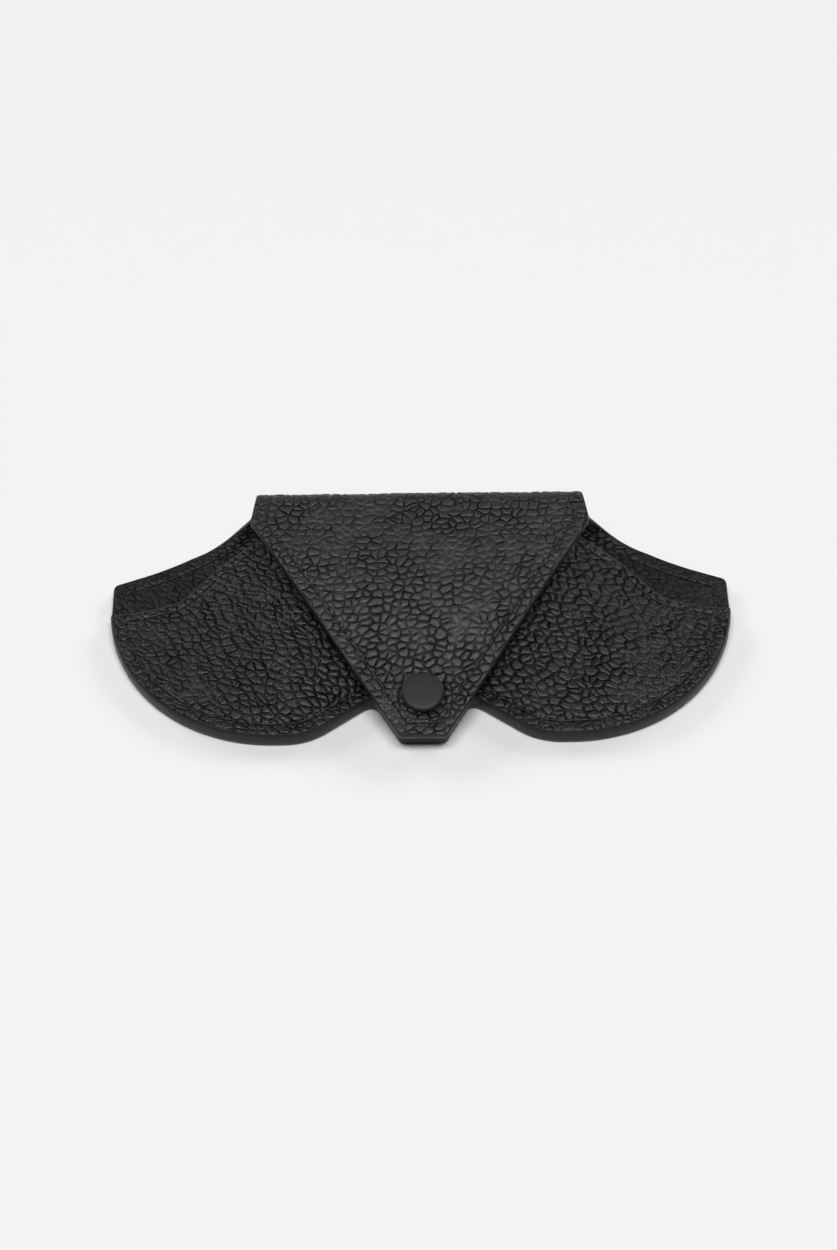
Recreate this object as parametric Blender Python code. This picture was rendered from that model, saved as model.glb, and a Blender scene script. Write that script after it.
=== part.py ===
"""A soft leather pouch for glasses, closed by a flap with one snap.

The case lies on its back panel: X runs along its width, Y from the lobes to the fold, and Z up.
The body leather is one long sheet. It is drawn flat, with x across it and s along its outer
face, then bent: flat under the lobes, round the back, up the spine, round the fold and down the
flap. The front panel is sewn on top round the lobes and bulges up towards its mouth.
"""

import math

import bmesh
import bpy
from mathutils import Matrix, Vector

MM = 0.001

# Layers, from the outer face inwards
LEATHER = 1.2 * MM
LINING = 0.8 * MM
FRONT_LINING = 0.6 * MM
GAP = 0.3 * MM
BODY_STACK = LEATHER + GAP + LINING
FRONT_STACK = FRONT_LINING + GAP + LEATHER

# Side view of the body sheet's outer face: flat, back bend, spine, fold, flap
FLAT_LENGTH = 66.8 * MM
BACK_RADIUS = 11.0 * MM
FOLD_RADIUS = 6.0 * MM
FOLD_CENTRE_Y = 68.4 * MM
FOLD_CENTRE_Z = 19.0 * MM
FLAP_TILT = math.radians(13.6)
FLAP_LENGTH = 72.1 * MM
BACK_HINGE_TURN = math.radians(75)
FOLD_HINGE_TURN = math.radians(38)

# Flat outline, right half
HALF_WIDTH = 88.5 * MM
LOBE_RADIUS = 47.0 * MM
TAB_HALF_WIDTH = 6.3 * MM
TAB_RADIUS = 1.5 * MM
NOTCH_X = 13.6 * MM
NOTCH_DEPTH = 13.8 * MM
NOTCH_RADIUS = 3.0 * MM
LOBE_INNER_X = 32.0 * MM
LOBE_INNER_RADIUS = 20.0 * MM
WING_CORNER_S = 56.0 * MM
WING_CORNER_RADIUS = 1.6 * MM
WING_BEND_X = 66.5 * MM
WING_BEND_S = 65.0 * MM
WING_BEND_RADIUS = 90.0 * MM
NECK_X = 48.6 * MM
NECK_S = 81.6 * MM
NECK_RADIUS = 7.0 * MM
FOLD_HALF_WIDTH = 46.1 * MM
FOLD_S = 97.0 * MM
FOLD_SIDE_RADIUS = 40.0 * MM
SHOULDER_HALF_WIDTH = 48.2 * MM
SHOULDER_PAST_FOLD = 5.7 * MM
SHOULDER_RADIUS = 3.5 * MM
TIP_HALF_WIDTH = 6.4 * MM
TIP_RADIUS = 1.5 * MM

# Front panel, in plan
FRONT_HALF_WIDTH = 88.0 * MM
MOUTH_SIDE_Y = 43.4 * MM
MOUTH_START_X = HALF_WIDTH + 5.0 * MM
MOUTH_DIP_X = HALF_WIDTH - 4.0 * MM
MOUTH_DIP_RADIUS = 30.0 * MM
MOUTH_TURN_X = 69.0 * MM
MOUTH_TURN_Y = 46.2 * MM
MOUTH_TURN_RADIUS = 8.0 * MM
MOUTH_BOW_X = 58.0 * MM
MOUTH_BOW_Y = 57.2 * MM
MOUTH_BOW_RADIUS = 40.0 * MM
MOUTH_CORNER_X = 46.8 * MM
MOUTH_CORNER_RADIUS = 3.0 * MM
MOUTH_Y = 65.2 * MM
BULGE = 9.7 * MM
BULGE_STEEPNESS = 1.6
BULGE_FULL_X = 30.0 * MM
BULGE_END_X = 84.0 * MM
BULGE_START = 4.2 * MM

# Stitching
SEAM_INSET = 3.8 * MM
MOUTH_SEAM_INSET = 2.3 * MM
THREAD_RADIUS = 0.2 * MM
THREAD_LIFT = GAP + THREAD_RADIUS
THREAD_END_GAP = 0.3 * MM
STEP_DOWN_START = 0.5 * MM
STEP_DOWN_END = 1.1 * MM
WING_SEAM_START = 1.6 * MM
MOUTH_SEAM_END_X = HALF_WIDTH - SEAM_INSET - 1.0 * MM

# Snap, with heights along its axis from the flap's outer face
SNAP_FROM_TIP = 12.9 * MM
CAP_RADIUS = 6.0 * MM
CAP_HEIGHT = 1.2 * MM
CAP_EDGE_HEIGHT = 0.3 * MM
CAP_UNDERSIDE = 0.95
CAP_DOME = [(0.0, 1.0), (0.55, 0.95), (0.85, 0.80), (0.96, 0.58)]
POST_RADIUS = 1.2 * MM
POST_HOLE_TOP = 3.0 * MM
POST_HOLE_BOTTOM = -9.0 * MM
SOCKET_RADIUS = 5.2 * MM
SOCKET_THICKNESS = 1.3 * MM
SOCKET_BORE = 2.6 * MM
SOCKET_ROOF = 0.5 * MM
SOCKET_TOP_CHAMFER = 0.3 * MM
SOCKET_LIP = 0.7 * MM
SOCKET_LIP_HEIGHT = 0.5 * MM
STUD_HEIGHT = 1.25 * MM
STUD_BASE_RADIUS = 4.0 * MM
STUD_BASE_THICKNESS = 0.3 * MM
STUD_HEAD_RADIUS = 2.2 * MM
STUD_HEAD_ROOF = 0.4 * MM
STUD_HEAD_LIP = 0.5 * MM
STUD_HEAD_SIDE = [0.25 * MM, 0.55 * MM]
STUD_NECK = 0.25 * MM
STUD_NECK_HEIGHT = 0.4 * MM
STUD_BASE_CHAMFER = 0.2 * MM
STUD_POST_HEIGHT = 0.6 * MM
FLANGE_RADIUS = 3.6 * MM
FLANGE_THICKNESS = 0.4 * MM

# How finely the meshes are divided
TURN_SIDES = 24
ARC_STEP = math.radians(22)
BIG_ARC_STEP = math.radians(6.5)
BIG_RADIUS = 20.0 * MM
SMALLEST_RADIUS = 0.8 * MM
BEND_ROWS = 6
MESH_STEP = 6.0 * MM
WIDEST_COLUMN = 9.0 * MM
NARROWEST_COLUMN = 0.7 * MM
LAST_COLUMN_GAP = 0.4 * MM
WING_SEAM_STEP = 2.0 * MM
FLAP_SEAM_STEP = 18.0 * MM
FIRST_ROW = 0.8
FRONT_FIRST_ROW = 0.3
CLEAR_OF_BEND = 1.0 * MM
CLEAR_OF_TIP = 0.01 * MM
CLEAR_OF_END = 0.5 * MM
SMOOTH_ANGLE = math.radians(35)
NEGLIGIBLE = 1e-9


# ---------------------------------------------------------------- side view of the body sheet

CENTRE_OFFSET = Vector((FOLD_CENTRE_Y - FLAT_LENGTH, FOLD_CENTRE_Z - BACK_RADIUS))
SPINE_ANGLE = math.atan2(CENTRE_OFFSET.y, CENTRE_OFFSET.x) + math.asin(
    (BACK_RADIUS - FOLD_RADIUS) / CENTRE_OFFSET.length
)
SPINE_LENGTH = math.sqrt(CENTRE_OFFSET.length**2 - (BACK_RADIUS - FOLD_RADIUS) ** 2)
FLAP_ANGLE = math.pi + FLAP_TILT
S_SPINE = FLAT_LENGTH + BACK_RADIUS * SPINE_ANGLE
S_FOLD = S_SPINE + SPINE_LENGTH
S_FLAP = S_FOLD + FOLD_RADIUS * (FLAP_ANGLE - SPINE_ANGLE)
S_TIP = S_FLAP + FLAP_LENGTH
S_BACK_HINGE = FLAT_LENGTH + BACK_RADIUS * BACK_HINGE_TURN
S_FOLD_HINGE = S_FOLD + FOLD_RADIUS * FOLD_HINGE_TURN


def on_arc(centre_y, centre_z, radius, angle):
    """The point of an arc where the sheet heads at this angle, and that angle."""
    return (centre_y + radius * math.sin(angle), centre_z - radius * math.cos(angle), angle)


def side_view(s):
    """Where the outer face is at length s, as y, z and its heading."""
    if s <= FLAT_LENGTH:
        return (s, 0.0, 0.0)
    if s <= S_SPINE:
        return on_arc(FLAT_LENGTH, BACK_RADIUS, BACK_RADIUS, (s - FLAT_LENGTH) / BACK_RADIUS)
    if s <= S_FOLD:
        y, z, angle = on_arc(FLAT_LENGTH, BACK_RADIUS, BACK_RADIUS, SPINE_ANGLE)
        run = s - S_SPINE
        return (y + run * math.cos(angle), z + run * math.sin(angle), angle)
    if s <= S_FLAP:
        angle = SPINE_ANGLE + (s - S_FOLD) / FOLD_RADIUS
        return on_arc(FOLD_CENTRE_Y, FOLD_CENTRE_Z, FOLD_RADIUS, angle)
    y, z, angle = on_arc(FOLD_CENTRE_Y, FOLD_CENTRE_Z, FOLD_RADIUS, FLAP_ANGLE)
    run = s - S_FLAP
    return (y + run * math.cos(angle), z + run * math.sin(angle), angle)


THREAD_HEIGHT = GAP + 2 * THREAD_RADIUS
ORIGIN_Y = (side_view(S_TIP)[0] + FLAT_LENGTH + BACK_RADIUS + THREAD_HEIGHT) / 2


def on_body(x, s, depth):
    """The point of the body sheet at (x, s), this deep below its outer face."""
    y, z, angle = side_view(s)
    return Vector((x, y - depth * math.sin(angle) - ORIGIN_Y, z + depth * math.cos(angle)))


# ---------------------------------------------------------------- outlines


def rounded(corners):
    """A run through (x, s, radius) corners, each one rounded by an arc."""
    points = [Vector(corners[0][:2])]
    for before, here, after in zip(corners, corners[1:], corners[2:]):
        corner = Vector(here[:2])
        back = (Vector(before[:2]) - corner).normalized()
        ahead = (Vector(after[:2]) - corner).normalized()
        half = back.angle(ahead) / 2
        radius = here[2]
        start = corner + back * radius / math.tan(half)
        centre = corner + (back + ahead).normalized() * radius / math.sin(half)
        turn = math.pi - 2 * half
        if back.cross(ahead) > 0:
            turn = -turn
        step = BIG_ARC_STEP if radius > BIG_RADIUS else ARC_STEP
        count = max(2, math.ceil(abs(turn) / step))
        arm = start - centre
        for k in range(count + 1):
            points.append(centre + Matrix.Rotation(turn * k / count, 2) @ arm)
    points.append(Vector(corners[-1][:2]))
    return points


def inset(corners, distance):
    """The same corners moved to the left of the run by this distance, radii to match."""
    moved = []
    for i, (x, s, radius) in enumerate(corners):
        here = Vector((x, s))
        before = Vector(corners[max(i - 1, 0)][:2])
        after = Vector(corners[min(i + 1, len(corners) - 1)][:2])
        back = here - before if i else after - here
        ahead = after - here if i < len(corners) - 1 else back
        left_back = Vector((-back.y, back.x)).normalized()
        left_ahead = Vector((-ahead.y, ahead.x)).normalized()
        mitre = (left_back + left_ahead).normalized()
        place = here + mitre * distance / mitre.dot(left_back)
        convex = back.cross(ahead) > 0
        new_radius = max(radius - distance, SMALLEST_RADIUS) if convex else radius + distance
        moved.append((place.x, place.y, new_radius))
    return moved


BODY_CORNERS = [
    (0.0, 0.0, 0.0),
    (TAB_HALF_WIDTH, 0.0, TAB_RADIUS),
    (NOTCH_X, NOTCH_DEPTH, NOTCH_RADIUS),
    (LOBE_INNER_X, 0.0, LOBE_INNER_RADIUS),
    (HALF_WIDTH, 0.0, LOBE_RADIUS),
    (HALF_WIDTH, WING_CORNER_S, WING_CORNER_RADIUS),
    (WING_BEND_X, WING_BEND_S, WING_BEND_RADIUS),
    (NECK_X, NECK_S, NECK_RADIUS),
    (FOLD_HALF_WIDTH, FOLD_S, FOLD_SIDE_RADIUS),
    (SHOULDER_HALF_WIDTH, S_FLAP + SHOULDER_PAST_FOLD, SHOULDER_RADIUS),
    (TIP_HALF_WIDTH, S_TIP, TIP_RADIUS),
    (0.0, S_TIP, 0.0),
]
MOUTH_CORNERS = [
    (MOUTH_START_X, MOUTH_SIDE_Y, 0.0),
    (MOUTH_DIP_X, MOUTH_SIDE_Y, MOUTH_DIP_RADIUS),
    (MOUTH_TURN_X, MOUTH_TURN_Y, MOUTH_TURN_RADIUS),
    (MOUTH_BOW_X, MOUTH_BOW_Y, MOUTH_BOW_RADIUS),
    (MOUTH_CORNER_X, MOUTH_Y, MOUTH_CORNER_RADIUS),
    (0.0, MOUTH_Y, 0.0),
]

BODY_RUN = rounded(BODY_CORNERS)
MOUTH_RUN = rounded(MOUTH_CORNERS)
SIDE_INDEX = max(range(len(BODY_RUN)), key=lambda i: (round(BODY_RUN[i].x, 7), -i))
LOWER_RUN = BODY_RUN[: SIDE_INDEX + 1]
UPPER_RUN = BODY_RUN[SIDE_INDEX:]


def height_at(run, x):
    """The second coordinate of a run where it first crosses this x."""
    for a, b in zip(run, run[1:]):
        low, high = min(a.x, b.x), max(a.x, b.x)
        if low <= x <= high and high - low > NEGLIGIBLE:
            return a.y + (b.y - a.y) * (x - a.x) / (b.x - a.x)
    nearest = min(run, key=lambda p: abs(p.x - x))
    return nearest.y


def half_width_at(s):
    """Half the body sheet's width at length s, above the wings."""
    for a, b in zip(UPPER_RUN, UPPER_RUN[1:]):
        if a.y <= s <= b.y and b.y - a.y > NEGLIGIBLE:
            return a.x + (b.x - a.x) * (s - a.y) / (b.y - a.y)
    return max(p.x for p in UPPER_RUN if math.isclose(p.y, S_TIP, rel_tol=1e-5))


def lower_edge(x):
    return height_at(LOWER_RUN, abs(x))


def wing_edge(x):
    return min(height_at(UPPER_RUN, abs(x)), S_BACK_HINGE - GAP / 2)


def mouth_edge(x):
    return height_at(MOUTH_RUN, abs(x))


def columns(runs, limit):
    """The x of each mesh column, on both sides: every outline point, and gaps filled in."""
    last = limit - LAST_COLUMN_GAP
    wanted = sorted({round(p.x, 6) for run in runs for p in run if p.x < last} | {0.0})
    kept = [0.0]
    for x in wanted + [limit]:
        while x - kept[-1] > WIDEST_COLUMN:
            kept.append(kept[-1] + MESH_STEP)
        if x - kept[-1] > NARROWEST_COLUMN or x == limit:
            kept.append(x)
    return [-x for x in reversed(kept[1:])] + kept


# ---------------------------------------------------------------- front panel


def ease(t):
    t = min(max(t, 0.0), 1.0)
    return t * t * (3 - 2 * t)


def front_height(x, y):
    """The height of the front panel's outer face."""
    across = ease((BULGE_END_X - abs(x)) / (BULGE_END_X - BULGE_FULL_X))
    start = lower_edge(x) + BULGE_START
    t = min(max((y - start) / (mouth_edge(x) - start), 0.0), 1.0)
    rise = BULGE_STEEPNESS * t - (BULGE_STEEPNESS - 1) * t * t
    return BODY_STACK + GAP + FRONT_STACK + BULGE * across * rise


def on_front(x, y, depth):
    """The point of the front panel at (x, y), this deep below its outer face."""
    return Vector((x, y - ORIGIN_Y, front_height(x, y) - depth))


# ---------------------------------------------------------------- making solids


def material(name, colour, roughness, metallic=0.0):
    made = bpy.data.materials.new(name)
    made.use_nodes = True
    shader = made.node_tree.nodes["Principled BSDF"]
    shader.inputs["Base Color"].default_value = (*colour, 1.0)
    shader.inputs["Roughness"].default_value = roughness
    shader.inputs["Metallic"].default_value = metallic
    return made


def hinge_empty(name, place):
    empty = bpy.data.objects.new(name, None)
    empty.location = place
    bpy.context.collection.objects.link(empty)
    return empty


def add_object(name, data, finish, hinge=None):
    """Puts a new object in the scene, carried by a hinge if it moves."""
    made = bpy.data.objects.new(name, data)
    data.materials.append(finish)
    bpy.context.collection.objects.link(made)
    if hinge:
        made.parent = hinge
        made.matrix_parent_inverse = Matrix.Translation(-hinge.location)
    return made


def sheet_mesh(name, grid_points, place, near, far):
    """A closed sheet over a grid of flat points, between two depths."""
    mesh = bpy.data.meshes.new(name)
    bm = bmesh.new()
    near_side = [[bm.verts.new(place(u, v, near)) for u, v in column] for column in grid_points]
    far_side = [[bm.verts.new(place(u, v, far)) for u, v in column] for column in grid_points]
    last_column = len(grid_points) - 1
    last_row = len(grid_points[0]) - 1
    for i in range(last_column):
        for j in range(last_row):
            a, b = near_side[i][j], near_side[i + 1][j]
            c, d = near_side[i + 1][j + 1], near_side[i][j + 1]
            add_quad(bm, a, b, c, d)
            a, b = far_side[i][j], far_side[i + 1][j]
            c, d = far_side[i + 1][j + 1], far_side[i][j + 1]
            add_quad(bm, b, a, d, c)
    rim = [(i, 0) for i in range(last_column)]
    rim += [(last_column, j) for j in range(last_row)]
    rim += [(i, last_row) for i in range(last_column, 0, -1)]
    rim += [(0, j) for j in range(last_row, 0, -1)]
    for (i, j), (k, m) in zip(rim, rim[1:] + rim[:1]):
        add_quad(bm, near_side[k][m], near_side[i][j], far_side[i][j], far_side[k][m])
    bmesh.ops.recalc_face_normals(bm, faces=bm.faces)
    bm.to_mesh(mesh)
    bm.free()
    return mesh


def add_quad(bm, a, b, c, d):
    bm.faces.new((a, b, c))
    bm.faces.new((a, c, d))


def turned_mesh(name, profile, closed):
    """A solid turned about the snap's axis, from (radius, height) points."""
    mesh = bpy.data.meshes.new(name)
    bm = bmesh.new()
    axis = Vector((0.0, -math.sin(FLAP_TILT), math.cos(FLAP_TILT)))
    across = Vector((1.0, 0.0, 0.0))
    along = axis.cross(across)
    rings = []
    for radius, height in profile:
        centre = SNAP_CENTRE + axis * height
        if radius == 0:
            rings.append([bm.verts.new(centre)] * TURN_SIDES)
            continue
        ring = []
        for k in range(TURN_SIDES):
            angle = 2 * math.pi * k / TURN_SIDES
            outward = across * math.cos(angle) + along * math.sin(angle)
            ring.append(bm.verts.new(centre + radius * outward))
        rings.append(ring)
    pairs = list(zip(rings, rings[1:]))
    if closed:
        pairs.append((rings[-1], rings[0]))
    for upper, lower in pairs:
        for k in range(TURN_SIDES):
            n = (k + 1) % TURN_SIDES
            corners = [upper[k], upper[n], lower[n], lower[k]]
            loop = [v for i, v in enumerate(corners) if v is not corners[i - 1]]
            bm.faces.new(loop)
    bmesh.ops.recalc_face_normals(bm, faces=bm.faces)
    bm.to_mesh(mesh)
    bm.free()
    mesh.shade_smooth()
    mesh.set_sharp_from_angle(angle=SMOOTH_ANGLE)
    return mesh


def thread(name, path, finish, hinge=None):
    """A thin thread along a path."""
    curve = bpy.data.curves.new(name, "CURVE")
    curve.dimensions = "3D"
    curve.bevel_depth = THREAD_RADIUS
    curve.bevel_resolution = 0
    curve.use_fill_caps = True
    spline = curve.splines.new("POLY")
    spline.points.add(len(path) - 1)
    for point, place in zip(spline.points, path):
        point.co = (*place, 1.0)
    return add_object(name, curve, finish, hinge)


def post_cutter():
    """The cutter for the holes that the two posts go through, GAP clear of them."""
    profile = [
        (0, POST_HOLE_TOP),
        (POST_RADIUS + GAP, POST_HOLE_TOP),
        (POST_RADIUS + GAP, POST_HOLE_BOTTOM),
        (0, POST_HOLE_BOTTOM),
    ]
    mesh = turned_mesh("post_cutter", profile, closed=False)
    cutter = bpy.data.objects.new("post_cutter", mesh)
    bpy.context.collection.objects.link(cutter)
    cutter.hide_render = True
    cutter.display_type = "WIRE"
    return cutter


def cut(target, cutter):
    hole = target.modifiers.new("post_hole", "BOOLEAN")
    hole.operation = "DIFFERENCE"
    hole.solver = "EXACT"
    hole.object = cutter


# ---------------------------------------------------------------- leather and linings


def back_panel_grid():
    grid = []
    for x in columns([LOWER_RUN, UPPER_RUN], HALF_WIDTH):
        low, high = lower_edge(x), wing_edge(x)
        first = min(FLAT_LENGTH, low + FIRST_ROW * (high - low))
        rows = [low] + [first + (high - first) * k / BEND_ROWS for k in range(BEND_ROWS + 1)]
        grid.append([(x, s) for s in rows])
    return grid


def front_panel_grid():
    grid = []
    for x in columns([LOWER_RUN, MOUTH_RUN], FRONT_HALF_WIDTH):
        low, high = lower_edge(x), mouth_edge(x)
        first = min(low + BULGE_START, low + FRONT_FIRST_ROW * (high - low))
        rows = [low] + [first + (high - first) * k / BEND_ROWS for k in range(BEND_ROWS + 1)]
        grid.append([(x, y) for y in rows])
    return grid


def strip_grid(lengths, splits):
    """A grid over the body sheet between its two sides, row by row."""
    grid = []
    for k in range(-splits, splits + 1):
        grid.append([(half_width_at(s) * k / splits, s) for s in lengths])
    return grid


def steps(start, end, count):
    return [start + (end - start) * k / count for k in range(count + 1)]


def spine_lengths():
    rows = steps(S_BACK_HINGE + GAP / 2, S_SPINE, 4)
    rows += steps(S_SPINE, S_FOLD, 1)[1:]
    return rows + steps(S_FOLD, S_FOLD_HINGE - GAP / 2, 4)[1:]


def flap_lengths():
    rows = steps(S_FOLD_HINGE + GAP / 2, S_FLAP, 4)
    first, last = S_FLAP + CLEAR_OF_BEND, S_TIP - CLEAR_OF_TIP
    outline = [p.y for p in UPPER_RUN if first < p.y < last]
    straight = steps(S_FLAP + SHOULDER_PAST_FOLD + MESH_STEP, S_TIP - MESH_STEP, BEND_ROWS)
    return rows + sorted(outline + straight) + [S_TIP]


def body_layers(name, grid, leather, lining, hinge=None):
    """The outer leather and the lining over one stretch of the body sheet."""
    outer_mesh = sheet_mesh(f"{name}_leather", grid, on_body, 0.0, LEATHER)
    inner_mesh = sheet_mesh(f"{name}_lining", grid, on_body, LEATHER + GAP, BODY_STACK)
    outer = add_object(f"{name}_leather", outer_mesh, leather, hinge)
    inner = add_object(f"{name}_lining", inner_mesh, lining, hinge)
    return outer, inner


def front_panel(leather, lining):
    grid = front_panel_grid()
    outer_mesh = sheet_mesh("front_panel_leather", grid, on_front, 0.0, LEATHER)
    inner_mesh = sheet_mesh("front_panel_lining", grid, on_front, LEATHER + GAP, FRONT_STACK)
    outer = add_object("front_panel_leather", outer_mesh, leather)
    inner = add_object("front_panel_lining", inner_mesh, lining)
    return outer, inner


# ---------------------------------------------------------------- stitching


def both_sides(run):
    """A run from the right, carried on to the left."""
    left = [Vector((-p.x, p.y)) for p in run if p.x > 1e-6]
    return list(run) + list(reversed(left))


def filled(run, longest):
    """The same run with long stretches divided."""
    points = [run[0]]
    for a, b in zip(run, run[1:]):
        count = max(1, math.ceil((b - a).length / longest))
        points += [a.lerp(b, k / count) for k in range(1, count + 1)]
    return points


def body_seam_path():
    """Down one wing, round both lobes and the tab, and up the other wing."""
    run = rounded(inset(BODY_CORNERS, SEAM_INSET))
    right = run[: (len(run) + 1) // 2]
    lobes = [p for p in right if p.y < MOUTH_SIDE_Y]
    start, end = MOUTH_SIDE_Y + WING_SEAM_START, S_BACK_HINGE - 2 * THREAD_END_GAP
    wings = [p for p in run if start < p.y < end]
    turn_x = HALF_WIDTH - SEAM_INSET
    step_down = mouth_edge(turn_x)
    path = [on_front(p.x, p.y, -THREAD_LIFT) for p in filled(lobes, MESH_STEP)]
    path.append(on_front(turn_x, step_down + STEP_DOWN_START, -THREAD_LIFT))
    path.append(on_body(turn_x, step_down + STEP_DOWN_END, BODY_STACK + THREAD_LIFT))
    path += [on_body(p.x, p.y, BODY_STACK + THREAD_LIFT) for p in filled(wings, WING_SEAM_STEP)]
    mirrored = [Vector((-p.x, p.y, p.z)) for p in path[1:]]
    return list(reversed(mirrored)) + path


def spine_seam_path(side):
    lengths = spine_lengths()
    lengths[0] += THREAD_END_GAP
    lengths[-1] -= THREAD_END_GAP
    return [on_body(side * (half_width_at(s) - SEAM_INSET), s, -THREAD_LIFT) for s in lengths]


def flap_seam_path():
    """Down both sides of the flap and across its tip."""
    run = rounded(inset(BODY_CORNERS, SEAM_INSET))
    start = S_FOLD_HINGE + 2 * THREAD_END_GAP
    sides = [Vector((half_width_at(s) - SEAM_INSET, s)) for s in steps(start, S_FLAP, 4)]
    sides += [p for p in run if p.y > S_FLAP + CLEAR_OF_BEND]
    path = both_sides(filled(sides, FLAP_SEAM_STEP))
    return [on_body(p.x, p.y, -THREAD_LIFT) for p in path]


def mouth_seam_path():
    run = rounded(inset(MOUTH_CORNERS, MOUTH_SEAM_INSET))
    first = Vector((MOUTH_SEAM_END_X, height_at(run, MOUTH_SEAM_END_X)))
    kept = [first] + [p for p in run if p.x < MOUTH_SEAM_END_X - CLEAR_OF_END]
    return [on_front(p.x, p.y, -THREAD_LIFT) for p in both_sides(filled(kept, MESH_STEP))]


# ---------------------------------------------------------------- snap

SNAP_CENTRE = on_body(0.0, S_TIP - SNAP_FROM_TIP, 0.0)


def front_below_snap():
    """How far below the flap's outer face the snap's axis meets the front panel."""
    near, far = 0.0, -POST_HOLE_BOTTOM
    while far - near > 1e-7:
        middle = (near + far) / 2
        y = SNAP_CENTRE.y + middle * math.sin(FLAP_TILT)
        z = SNAP_CENTRE.z - middle * math.cos(FLAP_TILT)
        if z > front_height(0.0, y + ORIGIN_Y):
            near = middle
        else:
            far = middle
    return near


def snap_cap(metal, hinge):
    """The domed cap, with the post that goes through the flap."""
    post_end = -(BODY_STACK + 2 * GAP)
    dome = [(share * CAP_RADIUS, GAP + rise * CAP_HEIGHT) for share, rise in CAP_DOME]
    profile = dome + [
        (CAP_RADIUS, GAP + CAP_EDGE_HEIGHT),
        (CAP_UNDERSIDE * CAP_RADIUS, GAP),
        (POST_RADIUS, GAP),
        (POST_RADIUS, post_end),
        (0, post_end),
    ]
    return add_object("snap_cap", turned_mesh("snap_cap", profile, closed=False), metal, hinge)


def snap_socket(metal, hinge):
    """The ring under the flap that the stud presses into."""
    top = -(BODY_STACK + GAP)
    bottom = top - SOCKET_THICKNESS
    shelf = top - SOCKET_ROOF
    profile = [
        (POST_RADIUS + GAP, top),
        (SOCKET_RADIUS - SOCKET_TOP_CHAMFER, top),
        (SOCKET_RADIUS, top - SOCKET_TOP_CHAMFER),
        (SOCKET_RADIUS, bottom + SOCKET_LIP_HEIGHT),
        (SOCKET_RADIUS - SOCKET_LIP, bottom),
        (SOCKET_BORE, bottom),
        (SOCKET_BORE, shelf),
        (POST_RADIUS + GAP, shelf),
    ]
    return add_object("snap_socket", turned_mesh("snap_socket", profile, closed=True), metal, hinge)


def snap_stud(metal, base):
    """The stud on the front panel, hollow for its post."""
    head = base + STUD_HEIGHT
    upper_side, lower_side = STUD_HEAD_SIDE
    profile = [
        (0, head),
        (STUD_HEAD_RADIUS - STUD_HEAD_LIP, head),
        (STUD_HEAD_RADIUS, head - upper_side),
        (STUD_HEAD_RADIUS, head - lower_side),
        (STUD_HEAD_RADIUS - STUD_NECK, base + STUD_NECK_HEIGHT),
        (STUD_BASE_RADIUS - STUD_BASE_CHAMFER, base + STUD_BASE_THICKNESS),
        (STUD_BASE_RADIUS, base + STUD_BASE_THICKNESS / 2),
        (STUD_BASE_RADIUS, base),
        (POST_RADIUS + GAP, base),
        (POST_RADIUS + GAP, head - STUD_HEAD_ROOF),
        (0, head - STUD_HEAD_ROOF),
    ]
    return add_object("snap_stud", turned_mesh("snap_stud", profile, closed=False), metal)


def snap_stud_post(metal, base, flange_top):
    """The eyelet that rivets the stud, with its flange inside the pocket."""
    top = base + STUD_POST_HEIGHT
    profile = [
        (0, top),
        (POST_RADIUS, top),
        (POST_RADIUS, flange_top),
        (FLANGE_RADIUS, flange_top),
        (FLANGE_RADIUS, flange_top - FLANGE_THICKNESS),
        (0, flange_top - FLANGE_THICKNESS),
    ]
    return add_object("snap_stud_post", turned_mesh("snap_stud_post", profile, closed=False), metal)


# ---------------------------------------------------------------- the whole case


def clear_scene():
    for old in list(bpy.data.objects):
        bpy.data.objects.remove(old, do_unlink=True)


def build():
    clear_scene()
    leather = material("black_pebbled_leather", (0.018, 0.018, 0.017), 0.5)
    lining = material("black_lining_leather", (0.015, 0.015, 0.014), 0.6)
    thread_finish = material("black_thread", (0.008, 0.008, 0.008), 0.7)
    painted = material("dark_painted_metal", (0.03, 0.03, 0.028), 0.45, 0.6)
    nickel = material("black_nickel", (0.16, 0.16, 0.16), 0.35, 1.0)

    spine_hinge = hinge_empty("spine_hinge", on_body(0.0, S_BACK_HINGE, 0.0))
    flap_hinge = hinge_empty("flap_hinge", on_body(0.0, S_FOLD_HINGE, 0.0))

    body_layers("back_panel", back_panel_grid(), leather, lining)
    body_layers("spine", strip_grid(spine_lengths(), 3), leather, lining, spine_hinge)
    flap_sheets = body_layers("flap", strip_grid(flap_lengths(), 4), leather, lining, flap_hinge)
    front_sheets = front_panel(leather, lining)

    cutter = post_cutter()
    for sheet in (*flap_sheets, *front_sheets):
        cut(sheet, cutter)

    front_depth = front_below_snap()
    stud_base = -(front_depth - GAP)
    flange_top = -(front_depth + FRONT_STACK * math.cos(FLAP_TILT) + GAP)
    snap_cap(painted, flap_hinge)
    snap_socket(nickel, flap_hinge)
    snap_stud(nickel, stud_base)
    snap_stud_post(nickel, stud_base, flange_top)

    thread("body_seam_thread", body_seam_path(), thread_finish)
    thread("spine_seam_thread_left", spine_seam_path(-1), thread_finish, spine_hinge)
    thread("spine_seam_thread_right", spine_seam_path(1), thread_finish, spine_hinge)
    thread("flap_seam_thread", flap_seam_path(), thread_finish, flap_hinge)
    thread("mouth_seam_thread", mouth_seam_path(), thread_finish)


build()
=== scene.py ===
"""The looks of a soft leather pouch for glasses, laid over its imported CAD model.

Every layer of leather is drawn flat, with u across the case and v along it, on a fine square grid
trimmed to its outline. It gets its grain, seams and creases as real relief, and is then bent into
place by the side view that the CAD model has.
"""

import math

import bpy
import numpy as np
from mathutils import Matrix, Vector, kdtree
from mathutils.geometry import delaunay_2d_cdt


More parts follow.
